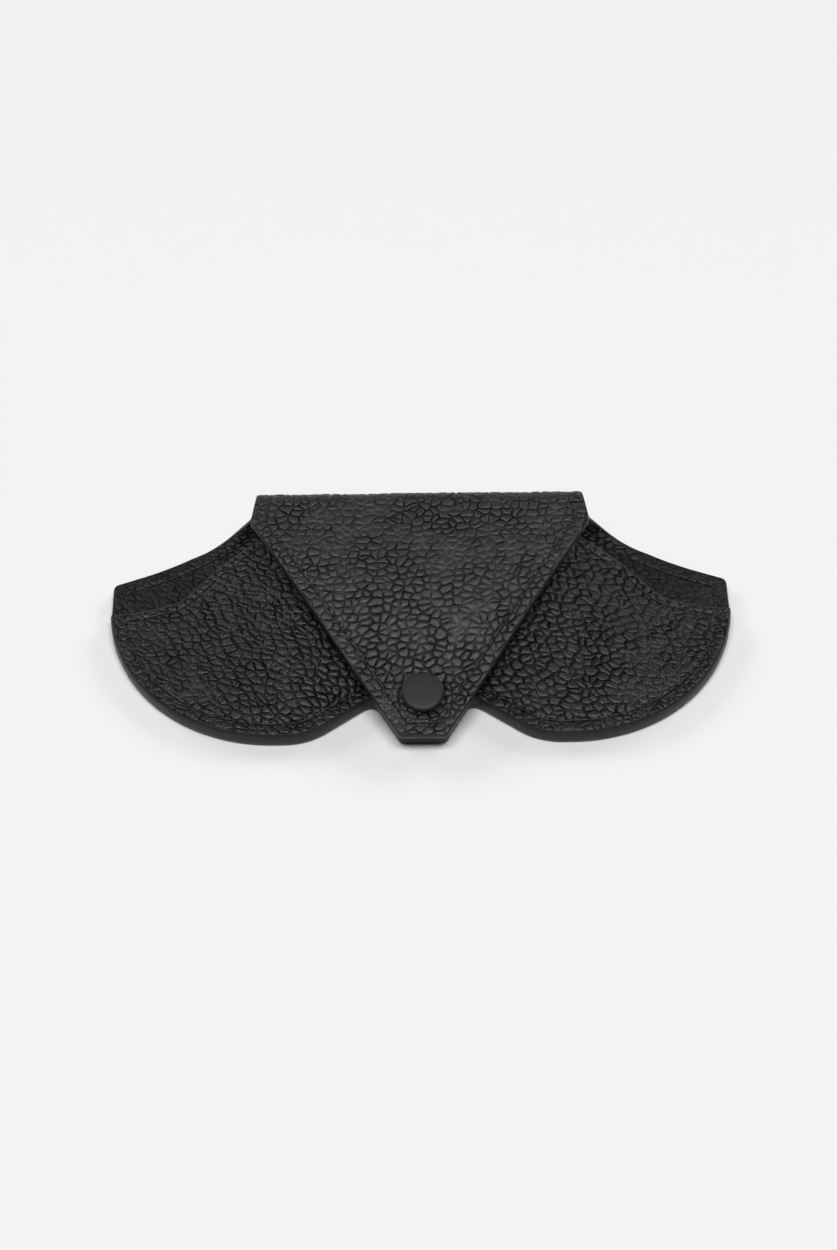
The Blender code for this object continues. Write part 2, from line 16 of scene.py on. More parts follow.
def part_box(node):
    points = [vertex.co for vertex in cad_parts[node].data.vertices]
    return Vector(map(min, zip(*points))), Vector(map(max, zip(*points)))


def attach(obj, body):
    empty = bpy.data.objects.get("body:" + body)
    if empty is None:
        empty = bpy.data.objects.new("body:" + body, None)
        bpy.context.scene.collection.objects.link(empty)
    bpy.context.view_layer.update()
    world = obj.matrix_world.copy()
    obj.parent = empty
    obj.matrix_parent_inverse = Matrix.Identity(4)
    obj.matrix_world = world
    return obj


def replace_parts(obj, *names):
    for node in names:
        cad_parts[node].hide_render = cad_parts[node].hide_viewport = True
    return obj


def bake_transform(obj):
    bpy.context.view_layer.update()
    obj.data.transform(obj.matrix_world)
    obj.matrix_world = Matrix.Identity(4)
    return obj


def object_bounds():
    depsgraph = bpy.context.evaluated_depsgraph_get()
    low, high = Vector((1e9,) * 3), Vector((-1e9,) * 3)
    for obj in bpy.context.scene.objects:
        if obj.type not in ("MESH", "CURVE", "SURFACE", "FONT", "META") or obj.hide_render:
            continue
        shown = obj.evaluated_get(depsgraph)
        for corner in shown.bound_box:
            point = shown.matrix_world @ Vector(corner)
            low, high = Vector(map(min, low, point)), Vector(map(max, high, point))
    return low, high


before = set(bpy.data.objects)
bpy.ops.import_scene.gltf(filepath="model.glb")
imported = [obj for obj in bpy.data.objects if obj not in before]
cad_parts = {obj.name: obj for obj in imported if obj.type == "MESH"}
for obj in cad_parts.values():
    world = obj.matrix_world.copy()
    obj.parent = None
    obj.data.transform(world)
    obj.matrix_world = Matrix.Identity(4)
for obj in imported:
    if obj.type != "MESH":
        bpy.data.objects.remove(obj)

MM = 0.001
CAD_LOW, CAD_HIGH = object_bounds()
PANEL_LOW, PANEL_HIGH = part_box("back_panel_leather")
CAP_LOW, CAP_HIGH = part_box("snap_cap")

# Layers, from the outer face inwards. A glue line of GLUE parts the two leathers of a panel.
LEATHER = 1.2 * MM
LINING = 0.8 * MM
FRONT_LINING = 0.6 * MM
GAP = 0.3 * MM
GLUE = 0.02 * MM
BODY_STACK = LEATHER + GAP + LINING
FRONT_STACK = LEATHER + GAP + FRONT_LINING
EDGE_STACK = BODY_STACK + GAP + FRONT_STACK

# Side view of the body sheet's outer face: flat, back bend, spine, fold, flap
FLAT_LENGTH = 66.8 * MM
BACK_RADIUS = 11.0 * MM
FOLD_RADIUS = 6.0 * MM
FOLD_CENTRE_Y = 68.4 * MM
FOLD_CENTRE_Z = 19.0 * MM
FLAP_TILT = math.radians(13.6)
FLAP_LENGTH = 72.1 * MM
FLAP_BOW = 2.0 * MM

# Flat outline, right half
HALF_WIDTH = PANEL_HIGH.x
LOBE_RADIUS = 47.0 * MM
TAB_HALF_WIDTH = 6.3 * MM
NOTCH_X = 13.6 * MM
NOTCH_DEPTH = 13.8 * MM
LOBE_INNER_X = 32.0 * MM
WING_CORNER_S = 56.0 * MM
WING_BEND_X = 66.5 * MM
WING_BEND_S = 65.0 * MM
NECK_X = 48.6 * MM
NECK_S = 81.6 * MM
FOLD_HALF_WIDTH = 46.1 * MM
FOLD_S = 97.0 * MM
SHOULDER_HALF_WIDTH = 48.2 * MM
SHOULDER_PAST_FOLD = 5.7 * MM
TIP_HALF_WIDTH = 6.4 * MM

# Front panel, in plan
MOUTH_SIDE_Y = 43.4 * MM
MOUTH_TURN_X = 69.0 * MM
MOUTH_TURN_Y = 46.2 * MM
MOUTH_BOW_X = 58.0 * MM
MOUTH_BOW_Y = 57.2 * MM
MOUTH_CORNER_X = 46.8 * MM
MOUTH_Y = 65.2 * MM
BULGE = 9.7 * MM
BULGE_FULL_X = 30.0 * MM
BULGE_END_X = 84.0 * MM
BULGE_START = 4.2 * MM

# Stitching
SEAM_INSET = 3.8 * MM
MOUTH_SEAM_INSET = 2.3 * MM
STITCH_PITCH = 2.8 * MM
THREAD_RADIUS = 0.2 * MM
STITCH_SINK = 0.34 * MM
STITCH_RISE = 0.36 * MM
STITCH_SIDES = 8
STITCH_RINGS = 9
GROOVE_HALF_WIDTH = 0.42 * MM
GROOVE_DEPTH = 0.24 * MM
HOLE_RADIUS = 0.42 * MM
HOLE_DEPTH = 0.6 * MM

# Grain: how far its cells stray from their rows, from 0 to 1, and how far in a pebble is round
JITTER = 0.85
PEBBLE_ROUNDING = 0.36 * MM

# Snap
SNAP_FROM_TIP = 12.9 * MM
CAP_RADIUS = (CAP_HIGH.x - CAP_LOW.x) / 2
TURN_SIDES = 72

# Studio, in metres and watts
LAMP_DISTANCE = 3.2
FLOOR_HALF_SIZE = 1.4
FLOOR_CLEARANCE = 0.15 * MM
WORLD_LIGHT = 0.06
BACKDROP_BRIGHTNESS = 0.86
SOFTBOXES = [  # name, side in degrees, elevation in degrees, size, power
    ("overhead", 0.0, -75.0, (2.4, 1.0), 82.0),
    ("behind", 0.0, 30.0, (3.2, 1.0), 4.8),
    ("behind_left", -50.0, 28.0, (1.6, 1.0), 24.0),
    ("behind_right", 50.0, 28.0, (1.6, 1.0), 24.0),
]

# Camera, fitted to the photograph
CAMERA_ELEVATION = math.radians(50.138)
CAMERA_YAW = math.radians(0.678)
CAMERA_ROLL = math.radians(0.158)
CAMERA_AIM = Vector((-0.85 * MM, -4.98 * MM, 12.0 * MM))
CAMERA_DISTANCE = 731.7 * MM
CAMERA_LENS = 74.88

# Colours of the leather, from dark patches to light ones, and the painted shade in its creases
# painted light: the flap's colours are about twice as light as the pockets', a lit and a shaded
# copy of one black leather
FLAP_COLOURS = (0.0085, 0.0084, 0.0052), (0.0130, 0.0128, 0.0085)
POCKET_COLOURS = (0.0040, 0.0040, 0.0026), (0.0075, 0.0074, 0.0050)
# painted shade: the colour mixed into the creases between pebbles, where shade falls
CREASE_SHADE_COLOUR = (0.0010, 0.0010, 0.0008)
# painted shade: the colour mixed into stitch grooves and holes
SEAM_SHADE_COLOUR = (0.0015, 0.0015, 0.0015)

# Mesh: how near two places count as the same, and the steps of grids and runs
SAME = 1e-6
FINE = 0.32 * MM
MEDIUM = 0.45 * MM
BACKING_STEP = 2.0 * MM
OUTLINE_STEP = 0.04 * MM
TRACK_STEP = 0.08 * MM
ARC_STEP = 0.3 * MM
PAINT_STEP = 0.7 * MM

CENTRE_OFFSET = Vector((FOLD_CENTRE_Y - FLAT_LENGTH, FOLD_CENTRE_Z - BACK_RADIUS))
SPINE_ANGLE = math.atan2(CENTRE_OFFSET.y, CENTRE_OFFSET.x) + math.asin(
    (BACK_RADIUS - FOLD_RADIUS) / CENTRE_OFFSET.length
)
SPINE_LENGTH = math.sqrt(CENTRE_OFFSET.length**2 - (BACK_RADIUS - FOLD_RADIUS) ** 2)
FLAP_ANGLE = math.pi + FLAP_TILT
S_SPINE = FLAT_LENGTH + BACK_RADIUS * SPINE_ANGLE
S_FOLD = S_SPINE + SPINE_LENGTH
S_FLAP = S_FOLD + FOLD_RADIUS * (FLAP_ANGLE - SPINE_ANGLE)
S_TIP = S_FLAP + FLAP_LENGTH
S_SPLIT = (S_SPINE + S_FOLD) / 2
ORIGIN_Y = -PANEL_LOW.y


# ------ random fields


def hashed(i, j, seed):
    """A random number from 0 to 1 for every pair of whole numbers."""
    n = i.astype(np.int64) * 374761393 + j.astype(np.int64) * 668265263 + seed * 974634777
    n = n & 0xFFFFFFFF
    n = ((n ^ (n >> 13)) * 1274126177) & 0xFFFFFFFF
    n = n ^ (n >> 16)
    return (n & 0xFFFFFF) / 0x1000000


def noise(u, v, size, seed):
    """Smooth noise from -1 to 1, with features of this size."""
    u, v = u / size, v / size
    i, j = np.floor(u), np.floor(v)
    a, b = u - i, v - j
    a, b = a * a * (3 - 2 * a), b * b * (3 - 2 * b)
    low = hashed(i, j, seed) * (1 - a) + hashed(i + 1, j, seed) * a
    high = hashed(i, j + 1, seed) * (1 - a) + hashed(i + 1, j + 1, seed) * a
    return 2 * (low * (1 - b) + high * b) - 1


def turned_bits(x, k):
    return (x << np.uint32(k)) | (x >> np.uint32(32 - k))


def stirred(i, j, third, words):
    """The hash behind the shader's Voronoi texture, of two or three numbers' bits, from 0 to 1."""
    base = np.uint32((0xDEADBEEF + 4 * words + 13) & 0xFFFFFFFF)
    with np.errstate(over="ignore"):
        a = base + i.astype(np.float32).view(np.uint32)
        b = base + j.astype(np.float32).view(np.uint32)
        c = np.full_like(a, base + third)
        c = (c ^ b) - turned_bits(b, 14)
        a = (a ^ c) - turned_bits(c, 11)
        b = (b ^ a) - turned_bits(a, 25)
        c = (c ^ b) - turned_bits(b, 16)
        a = (a ^ c) - turned_bits(c, 4)
        b = (b ^ a) - turned_bits(a, 14)
        c = (c ^ b) - turned_bits(b, 24)
    return c / 0xFFFFFFFF


def cells(u, v, jitter):
    """The shader's Voronoi cells, one to a unit: distance from a border, and the cell's number."""
    column, row = np.floor(u) + 0.0, np.floor(v) + 0.0
    one = np.float32(1.0).view(np.uint32)
    places = []
    nearest = np.full(u.shape, 1e9)
    centre_x, centre_y, own = np.zeros(u.shape), np.zeros(u.shape), np.zeros(u.shape)
    for i, j in [(i, j) for j in (-1, 0, 1) for i in (-1, 0, 1)]:
        first = stirred(column + i, row + j, np.uint32(0), 2)
        x = column + i + jitter * first - u
        y = row + j + jitter * stirred(column + i, row + j, one, 3) - v
        places.append((x, y))
        closer = x * x + y * y < nearest
        nearest = np.where(closer, x * x + y * y, nearest)
        centre_x, centre_y = np.where(closer, x, centre_x), np.where(closer, y, centre_y)
        own = np.where(closer, first, own)
    border = np.full(u.shape, 8.0)
    for x, y in places:
        apart = np.hypot(x - centre_x, y - centre_y)
        other = apart > 0.01
        middle = (x + centre_x) / 2 * (x - centre_x) + (y + centre_y) / 2 * (y - centre_y)
        border = np.where(other, np.minimum(border, middle / np.where(other, apart, 1.0)), border)
    return border, own


def ease(t):
    t = np.clip(t, 0.0, 1.0)
    return t * t * (3 - 2 * t)


# ------ side view and outlines


def side_view(s):
    """Where the outer face is at length s, as y, z and its heading."""
    back = np.clip((s - FLAT_LENGTH) / BACK_RADIUS, 0, SPINE_ANGLE)
    rise = np.clip(s - S_SPINE, 0, SPINE_LENGTH)
    fold = np.clip((s - S_FOLD) / FOLD_RADIUS, 0, FLAP_ANGLE - SPINE_ANGLE)
    flap = np.maximum(s - S_FLAP, 0)
    y = np.minimum(s, FLAT_LENGTH) + BACK_RADIUS * np.sin(back) + rise * math.cos(SPINE_ANGLE)
    y += FOLD_RADIUS * (np.sin(SPINE_ANGLE + fold) - math.sin(SPINE_ANGLE))
    y += flap * math.cos(FLAP_ANGLE)
    z = BACK_RADIUS * (1 - np.cos(back)) + rise * math.sin(SPINE_ANGLE)
    z += FOLD_RADIUS * (math.cos(SPINE_ANGLE) - np.cos(SPINE_ANGLE + fold))
    z += flap * math.sin(FLAP_ANGLE)
    return y, z, back + fold


def rounded(corners):
    """A run through (x, s, radius) corners, each one rounded by an arc."""
    points = [Vector(corners[0][:2])]
    for before, here, after in zip(corners, corners[1:], corners[2:]):
        corner = Vector(here[:2])
        back = (Vector(before[:2]) - corner).normalized()
        ahead = (Vector(after[:2]) - corner).normalized()
        half = back.angle(ahead) / 2
        radius = here[2]
        arm = corner + back * radius / math.tan(half)
        centre = corner + (back + ahead).normalized() * radius / math.sin(half)
        arm -= centre
        turn = math.pi - 2 * half
        if back.cross(ahead) > 0:
            turn = -turn
        count = max(2, math.ceil(abs(turn) * radius / ARC_STEP))
        for k in range(count + 1):
            points.append(centre + Matrix.Rotation(turn * k / count, 2) @ arm)
    points.append(Vector(corners[-1][:2]))
    return np.array(points)


def inset(corners, distance):
    """The same corners moved to the left of the run by this distance, radii to match."""
    moved = []
    for i, (x, s, radius) in enumerate(corners):
        here = Vector((x, s))
        before = Vector(corners[max(i - 1, 0)][:2])
        after = Vector(corners[min(i + 1, len(corners) - 1)][:2])
        back = here - before if i else after - here
        ahead = after - here if i < len(corners) - 1 else back
        left_back = Vector((-back.y, back.x)).normalized()
        left_ahead = Vector((-ahead.y, ahead.x)).normalized()
        mitre = (left_back + left_ahead).normalized()
        place = here + mitre * distance / mitre.dot(left_back)
        convex = back.cross(ahead) > 0
        new_radius = max(radius - distance, 0.8 * MM) if convex else radius + distance
        moved.append((place.x, place.y, new_radius))
    return moved


BODY_CORNERS = [
    (0.0, 0.0, 0.0),
    (TAB_HALF_WIDTH, 0.0, 1.5 * MM),
    (NOTCH_X, NOTCH_DEPTH, 3.0 * MM),
    (LOBE_INNER_X, 0.0, 20.0 * MM),
    (HALF_WIDTH, 0.0, LOBE_RADIUS),
    (HALF_WIDTH, WING_CORNER_S, 1.6 * MM),
    (WING_BEND_X, WING_BEND_S, 90.0 * MM),
    (NECK_X, NECK_S, 7.0 * MM),
    (FOLD_HALF_WIDTH, FOLD_S, 40.0 * MM),
    (SHOULDER_HALF_WIDTH, S_FLAP + SHOULDER_PAST_FOLD, 3.5 * MM),
    (TIP_HALF_WIDTH, S_TIP, 1.5 * MM),
    (0.0, S_TIP, 0.0),
]
MOUTH_CORNERS = [
    (HALF_WIDTH + 5 * MM, MOUTH_SIDE_Y, 0.0),
    (HALF_WIDTH - 4 * MM, MOUTH_SIDE_Y, 30.0 * MM),
    (MOUTH_TURN_X, MOUTH_TURN_Y, 8.0 * MM),
    (MOUTH_BOW_X, MOUTH_BOW_Y, 40.0 * MM),
    (MOUTH_CORNER_X, MOUTH_Y, 3.0 * MM),
    (0.0, MOUTH_Y, 0.0),
]


def divided(run, step):
    """The same run with points a step apart."""
    lengths = run_lengths(run)
    count = max(1, math.ceil(lengths[-1] / step))
    at = np.linspace(0, lengths[-1], count + 1)
    return np.stack([np.interp(at, lengths, run[:, 0]), np.interp(at, lengths, run[:, 1])], axis=1)


def run_lengths(run):
    """How far along a run each of its points is."""
    return np.concatenate([[0], np.cumsum(np.hypot(*np.diff(run, axis=0).T))])


def mirrored(run):
    """A run from the middle line or to it, on the left side and the other way round."""
    return run[::-1] * (-1, 1)


def both_sides(run):
    """A run from the middle line or to it, joined there to its mirror image."""
    if run[0, 0] < run[-1, 0]:
        return np.concatenate([mirrored(run)[:-1], run])
    return np.concatenate([run[:-1], mirrored(run)])


BODY_RUN = divided(rounded(BODY_CORNERS), OUTLINE_STEP)
MOUTH_RUN = divided(rounded(MOUTH_CORNERS), OUTLINE_STEP)
WIDEST = int(np.argmax(np.round(BODY_RUN[:, 0], 7)))
LOWER_RUN = BODY_RUN[: WIDEST + 1]


def lower_edge(x):
    return np.interp(np.abs(x), LOWER_RUN[:, 0], LOWER_RUN[:, 1])


def mouth_edge(x):
    return np.interp(np.abs(x), MOUTH_RUN[::-1, 0], MOUTH_RUN[::-1, 1])


def whole(right):
    """A closed outline, anticlockwise, from its right half."""
    return np.concatenate([right[:-1], mirrored(right)[:-1]])


def split_line():
    """From the middle of the spine to its right side."""
    half = np.interp(S_SPLIT, BODY_RUN[WIDEST:, 1], BODY_RUN[WIDEST:, 0])
    return divided(np.array([(0.0, S_SPLIT), (half, S_SPLIT)]), OUTLINE_STEP)


def back_outline():
    right = BODY_RUN[BODY_RUN[:, 1] < S_SPLIT]
    return whole(np.concatenate([right, split_line()[::-1]]))


def flap_outline():
    right = BODY_RUN[BODY_RUN[:, 1] > S_SPLIT]
    return whole(np.concatenate([split_line(), right]))


def lobe_run():
    """The edge of the two layers sewn together, from the middle of the tab to the mouth."""
    under_mouth = LOWER_RUN[:, 1] < mouth_edge(LOWER_RUN[:, 0])
    return LOWER_RUN[under_mouth]


def front_outline():
    lobe = lobe_run()
    mouth = MOUTH_RUN[MOUTH_RUN[:, 0] < lobe[-1, 0] - OUTLINE_STEP]
    return whole(np.concatenate([lobe, mouth]))


# ------ faces in place


def wing_lift(u, v):
    """How far the corners of the wings stand off the floor."""
    return 0.9 * MM * ease((np.abs(u) - 52 * MM) / (37 * MM)) * ease((v - 18 * MM) / (38 * MM))


def flap_wave(u, v):
    """How far the flap swells, dips and curls, as soft leather does."""
    free = ease((v - S_FLAP) / (12 * MM))
    swell = 0.25 * MM * noise(u, v, 19 * MM, 31)
    near_snap = np.hypot(u, v - (S_TIP - SNAP_FROM_TIP))
    share = (v - S_FLAP) / (FLAP_LENGTH - SNAP_FROM_TIP - 7 * MM)
    bow = FLAP_BOW * np.sin(math.pi * np.clip(share, 0, 1))
    return bow + free * swell * ease((near_snap - 7 * MM) / (12 * MM))


def on_body(u, v, depth):
    """The point of the body sheet at (u, v), this deep below its outer face."""
    y, z, angle = side_view(v)
    depth = depth + wing_lift(u, v) * (v < FLAT_LENGTH + 20 * MM) - flap_wave(u, v)
    y, z = y - depth * np.sin(angle) - ORIGIN_Y, z + depth * np.cos(angle)
    return np.stack([u, y, z], axis=-1)


def front_height(u, v):
    """The height of the front panel's outer face."""
    across = ease((BULGE_END_X - np.abs(u)) / (BULGE_END_X - BULGE_FULL_X))
    start = lower_edge(u) + BULGE_START
    t = np.clip((v - start) / (mouth_edge(u) - start), 0.0, 1.0)
    return EDGE_STACK + BULGE * across * (1.6 * t - 0.6 * t * t) + wing_lift(u, v)


def on_front(u, v, depth):
    """The point of the front panel at (u, v), this deep below its outer face."""
    return np.stack([u, v - ORIGIN_Y, front_height(u, v) - depth], axis=-1)


# ------ tracks that seams follow


class Track:
    """A stitched line on a flat layer, that can say how far from it a point is."""

    def __init__(self, run):
        self.run = divided(run, TRACK_STEP)
        self.lengths = run_lengths(self.run)
        self.stitches = max(1, round(self.lengths[-1] / STITCH_PITCH))
        self.pitch = self.lengths[-1] / self.stitches
        self.tree = tree_of(self.run)

    def near(self, u, v, reach):
        """For each point: its distance from the line, and from the nearest stitch hole."""
        away = np.full(u.shape, 1.0)
        hole = np.full(u.shape, 1.0)
        low, high = self.run.min(0) - reach, self.run.max(0) + reach
        maybe = np.nonzero((u > low[0]) & (u < high[0]) & (v > low[1]) & (v < high[1]))[0]
        for k in maybe:
            _, index, distance = self.tree.find((u[k], v[k], 0.0))
            if distance < reach:
                away[k] = distance
                along = (self.lengths[index] / self.pitch + 0.5) % 1 - 0.5
                hole[k] = math.hypot(distance, along * self.pitch)
        return away, hole

    def at(self, share):
        """The places a share of the way along."""
        length = share * self.lengths[-1]
        return [np.interp(length, self.lengths, values) for values in self.run.T]


def tree_of(points):
    tree = kdtree.KDTree(len(points))
    for k, (x, y) in enumerate(points):
        tree.insert((x, y, 0.0), k)
    tree.balance()
    return tree


def seam_tracks():
    """The stitched lines: round the lobes, up each wing, round the flap, and along the mouth."""
    run = divided(rounded(inset(BODY_CORNERS, SEAM_INSET)), TRACK_STEP)
    widest = int(np.argmax(np.round(run[:, 0], 7)))
    first = run[:, 1] < mouth_edge(run[:, 0]) - 0.8 * MM
    first[widest:] = False
    lobes = run[first]
    wing = run[len(lobes) :]
    wing = wing[(wing[:, 1] > mouth_edge(wing[0, 0]) + 0.9 * MM) & (wing[:, 1] < S_SPLIT)]
    flap = run[run[:, 1] > S_SPLIT]
    mouth = divided(rounded(inset(MOUTH_CORNERS, MOUTH_SEAM_INSET)), TRACK_STEP)
    mouth = mouth[mouth[:, 0] < HALF_WIDTH - SEAM_INSET - 1.0 * MM]
    return {
        "lobes": Track(both_sides(lobes)),
        "wing_right": Track(wing),
        "wing_left": Track(mirrored(wing)),
        "flap": Track(both_sides(flap)),
        "mouth": Track(both_sides(mouth)),
    }


TRACKS = seam_tracks()


# ------ flat grids


def inside(outline, u, rows):
    """For every column u and every row, whether the point lies in the outline."""
    x0, y0 = outline.T
    x1, y1 = np.roll(outline, -1, axis=0).T
    result = np.zeros((len(u), len(rows)), bool)
    for j, y in enumerate(rows):
        cut = (y0 <= y) != (y1 <= y)
        x = x0[cut] + (y - y0[cut]) * (x1[cut] - x0[cut]) / (y1[cut] - y0[cut])
        result[:, j] = np.searchsorted(np.sort(x), u) % 2 == 1
    return result


def trimmed_grid(outline, spacing, line):
    """A square grid trimmed to an outline, with one row on v = line.

    Grid points within half a step of the outline are moved onto it. Returns the points, their
    distances from the cut edge, the faces and the loop of the rim.
    """
    low, high = outline.min(0), outline.max(0)
    half = math.ceil(high[0] / spacing) + 1
    u = np.arange(-half, half + 1) * spacing
    first = math.floor((low[1] - line) / spacing) - 1
    last = math.ceil((high[1] - line) / spacing) + 1
    rows = line + np.arange(first, last + 1) * spacing
    within = inside(outline, u, rows)
    near = within.copy()
    for axis in (0, 1):
        near |= np.roll(within, 1, axis) | np.roll(within, -1, axis)
    tree = tree_of(outline)
    cut_edge = tree_of(outline[np.abs(outline[:, 1] - S_SPLIT) > SAME])
    points = np.stack(np.meshgrid(u, rows, indexing="ij"), axis=-1)
    distance = np.full(within.shape, -1.0)
    from_cut = np.zeros(within.shape)
    for i, j in np.argwhere(near):
        _, index, away = tree.find((points[i, j, 0], points[i, j, 1], 0.0))
        distance[i, j] = away if within[i, j] else -away
        from_cut[i, j] = cut_edge.find((points[i, j, 0], points[i, j, 1], 0.0))[2]
        if away < spacing / 2:
            points[i, j] = outline[index]
    kept = distance > -spacing / 2
    deep = distance >= spacing / 2
    corners = [(0, 0), (1, 0), (1, 1), (0, 1)]
    width, height = len(u) - 1, len(rows) - 1
    corner_kept = np.stack([kept[a : a + width, b : b + height] for a, b in corners], axis=-1)
    corner_deep = np.stack([deep[a : a + width, b : b + height] for a, b in corners], axis=-1)
    used = corner_deep.any(-1) & (corner_kept.sum(-1) >= 3)
    number = np.arange(within.size).reshape(within.shape)
    ids = np.stack([number[a : a + width, b : b + height] for a, b in corners], axis=-1)
    faces = [tuple(q[k]) for q, k in zip(ids[used], corner_kept[used])]
    wanted = np.unique(np.concatenate([np.array(f) for f in faces]))
    renumber = np.full(within.size, -1)
    renumber[wanted] = np.arange(len(wanted))
    faces = [tuple(renumber[list(f)].tolist()) for f in faces]
    flat = points.reshape(-1, 2)[wanted]
    away = from_cut.reshape(-1)[wanted]
    away[~deep.reshape(-1)[wanted] & (np.abs(flat[:, 1] - S_SPLIT) > SAME)] = 0.0
    return flat, away, faces, rim_loop(faces)


def rim_loop(faces):
    """The points round the rim, in the order of the faces."""
    edges = set()
    for face in faces:
        edges.update(zip(face, face[1:] + face[:1]))
    following = {a: b for a, b in edges if (b, a) not in edges}
    loop = [min(following)]
    while following[loop[-1]] != loop[0]:
        loop.append(following[loop[-1]])
    if len(loop) != len(following):
        raise ValueError("the rim is not one loop")
    return loop


def backing(flat, loop, step):
    """A coarse triangulation inside a rim: its inner points, and faces over all its points."""
    rim = flat[loop]
    low, high = rim.min(0), rim.max(0)
    u = np.arange(math.ceil(low[0] / step), math.floor(high[0] / step) + 1) * step
    rows = np.arange(math.ceil(low[1] / step), math.floor(high[1] / step) + 1) * step
    grid = np.stack(np.meshgrid(u, rows, indexing="ij"), axis=-1)[inside(rim, u, rows)]
    tree = tree_of(rim)
    inner = [p for p in grid if tree.find((p[0], p[1], 0.0))[2] > 0.5 * step]
    points = [Vector(p) for p in rim] + [Vector(p) for p in inner]
    edges = [(k, (k + 1) % len(rim)) for k in range(len(rim))]
    made, _, faces, origin, _, _ = delaunay_2d_cdt(points, edges, [], 1, 1e-9)
    if len(made) != len(points):
        raise ValueError("the backing's points moved")
    return np.array(inner), [tuple(origin[k][0] for k in face) for face in faces]


# ------ meshes


def link(made):
    bpy.context.scene.collection.objects.link(made)
    return made


def new_object(name, vertices, faces, material):
    mesh = bpy.data.meshes.new(name)
    mesh.from_pydata(np.asarray(vertices).tolist(), [], faces)
    mesh.materials.append(material)
    mesh.shade_smooth()
    made = link(bpy.data.objects.new(name, mesh))
    return made


def vertex_values(mesh, name, values):
    attribute = mesh.attributes.new(name, "FLOAT", "POINT")
    attribute.data.foreach_set("value", np.asarray(values, np.float32))


def add_uv(mesh, name, places):
    layer = mesh.uv_layers.new(name=name)
    corners = np.zeros(len(mesh.loops), np.int32)
    mesh.loops.foreach_get("vertex_index", corners)
    layer.uv.foreach_set("vector", places[corners].astype(np.float32).ravel())


def sharpen(mesh, first, second):
    """Marks the edges that run round two rims as sharp."""
    ends = np.zeros(len(mesh.edges) * 2, np.int32)
    mesh.edges.foreach_get("vertices", ends)
    ends = ends.reshape(-1, 2)
    sharp = np.zeros(len(ends), bool)
    for loop in (first, second):
        on_loop = np.zeros(len(mesh.vertices), bool)
        on_loop[list(loop)] = True
        sharp |= on_loop[ends].all(1)
    attribute = mesh.attributes.new("sharp_edge", "BOOLEAN", "EDGE")
    attribute.data.foreach_set("value", sharp)


def leather_layer(name, outline, line, spacing, relief, face, hidden, downward, material):
    """One cut piece of leather: a grained face, a cut edge all round, and a plain hidden side.

    relief gives every flat point's height, marks and place among the cells. face and hidden put
    flat points in their places, on the face with this lift or on the glued side. downward is true
    where the face looks down while the sheet is flat.
    """
    flat, away, faces, loop = trimmed_grid(outline, spacing, line)
    inner, back_faces = backing(flat, loop, BACKING_STEP)
    height, marks, place = relief(flat[:, 0], flat[:, 1], away)
    rim = flat[loop]
    below = np.concatenate([rim, inner])
    top = face(flat[:, 0], flat[:, 1], height)
    bottom = hidden(below[:, 0], below[:, 1])
    count = len(flat)
    faces = list(faces)
    faces += [tuple(count + k for k in reversed(f)) for f in back_faces]
    size = len(loop)
    for k in range(size):
        n = (k + 1) % size
        faces.append((loop[n], loop[k], count + k, count + n))
    if downward:
        faces = [tuple(reversed(f)) for f in faces]
    made = new_object(name, np.concatenate([top, bottom]), faces, material)
    rest = len(below)
    for key, values in marks.items():
        vertex_values(made.data, key, np.concatenate([values, np.zeros(rest)]))
    add_uv(made.data, "flat", np.concatenate([flat, below]) * 10)
    add_uv(made.data, "cells", np.concatenate([place, np.zeros((rest, 2))]))
    sharpen(made.data, loop, range(count, count + size))
    return made


# ------ relief


def grain(u, v, cell, slant, depth, crease_width, seed):
    """Pebbled grain: its height, its strength, and its place among the shader's cells."""
    a, b = (
        x + (0.50 * MM * noise(u, v, 5.5 * MM, k) + 0.25 * MM * noise(u, v, 2.1 * MM, k + 1))
        for x, k in ((u, seed + 10), (v, seed + 12))
    )
    place = np.stack([(a + slant * b) / cell[0] + seed, b / cell[1] + seed], axis=-1)
    place = place.astype(np.float32).astype(float)
    border, own = cells(place[:, 0], place[:, 1], JITTER)
    border = border * math.sqrt(cell[0] * cell[1])
    strength = 0.75 + 0.45 * noise(u, v, 3.2 * MM, seed + 14)
    strength = np.clip(strength + 0.25 * noise(u, v, 12 * MM, seed + 15), 0.15, 1.2)
    crease = np.exp(-((border / crease_width) ** 2)) * strength
    dome = 1 - np.exp(-border / PEBBLE_ROUNDING)
    height = depth * (0.8 * dome - 1.1 * crease + 0.25 * (own - 0.5))
    return height, strength, place


def seam_relief(u, v, names):
    """The groove that stitches pull into the leather, with a hole at each stitch end, and a mask
    of painted shade for the groove and the holes.
    """
    height = np.zeros(u.shape)
    pressed = np.zeros(u.shape)
    dark = np.zeros(u.shape)
    for name in names:
        away, hole = TRACKS[name].near(u, v, 3.0 * MM)
        groove = np.exp(-((away / GROOVE_HALF_WIDTH) ** 2))
        valley = np.exp(-((away / (1.5 * MM)) ** 2))
        hole = np.exp(-((hole / HOLE_RADIUS) ** 2))
        height -= GROOVE_DEPTH * groove + 0.10 * MM * valley + (HOLE_DEPTH - GROOVE_DEPTH) * hole
        pressed = np.maximum(pressed, groove)
        # painted shade: the mask that darkens the groove and the holes
        dark = np.maximum(dark, np.maximum(0.45 * groove, hole))
    return height, pressed, dark


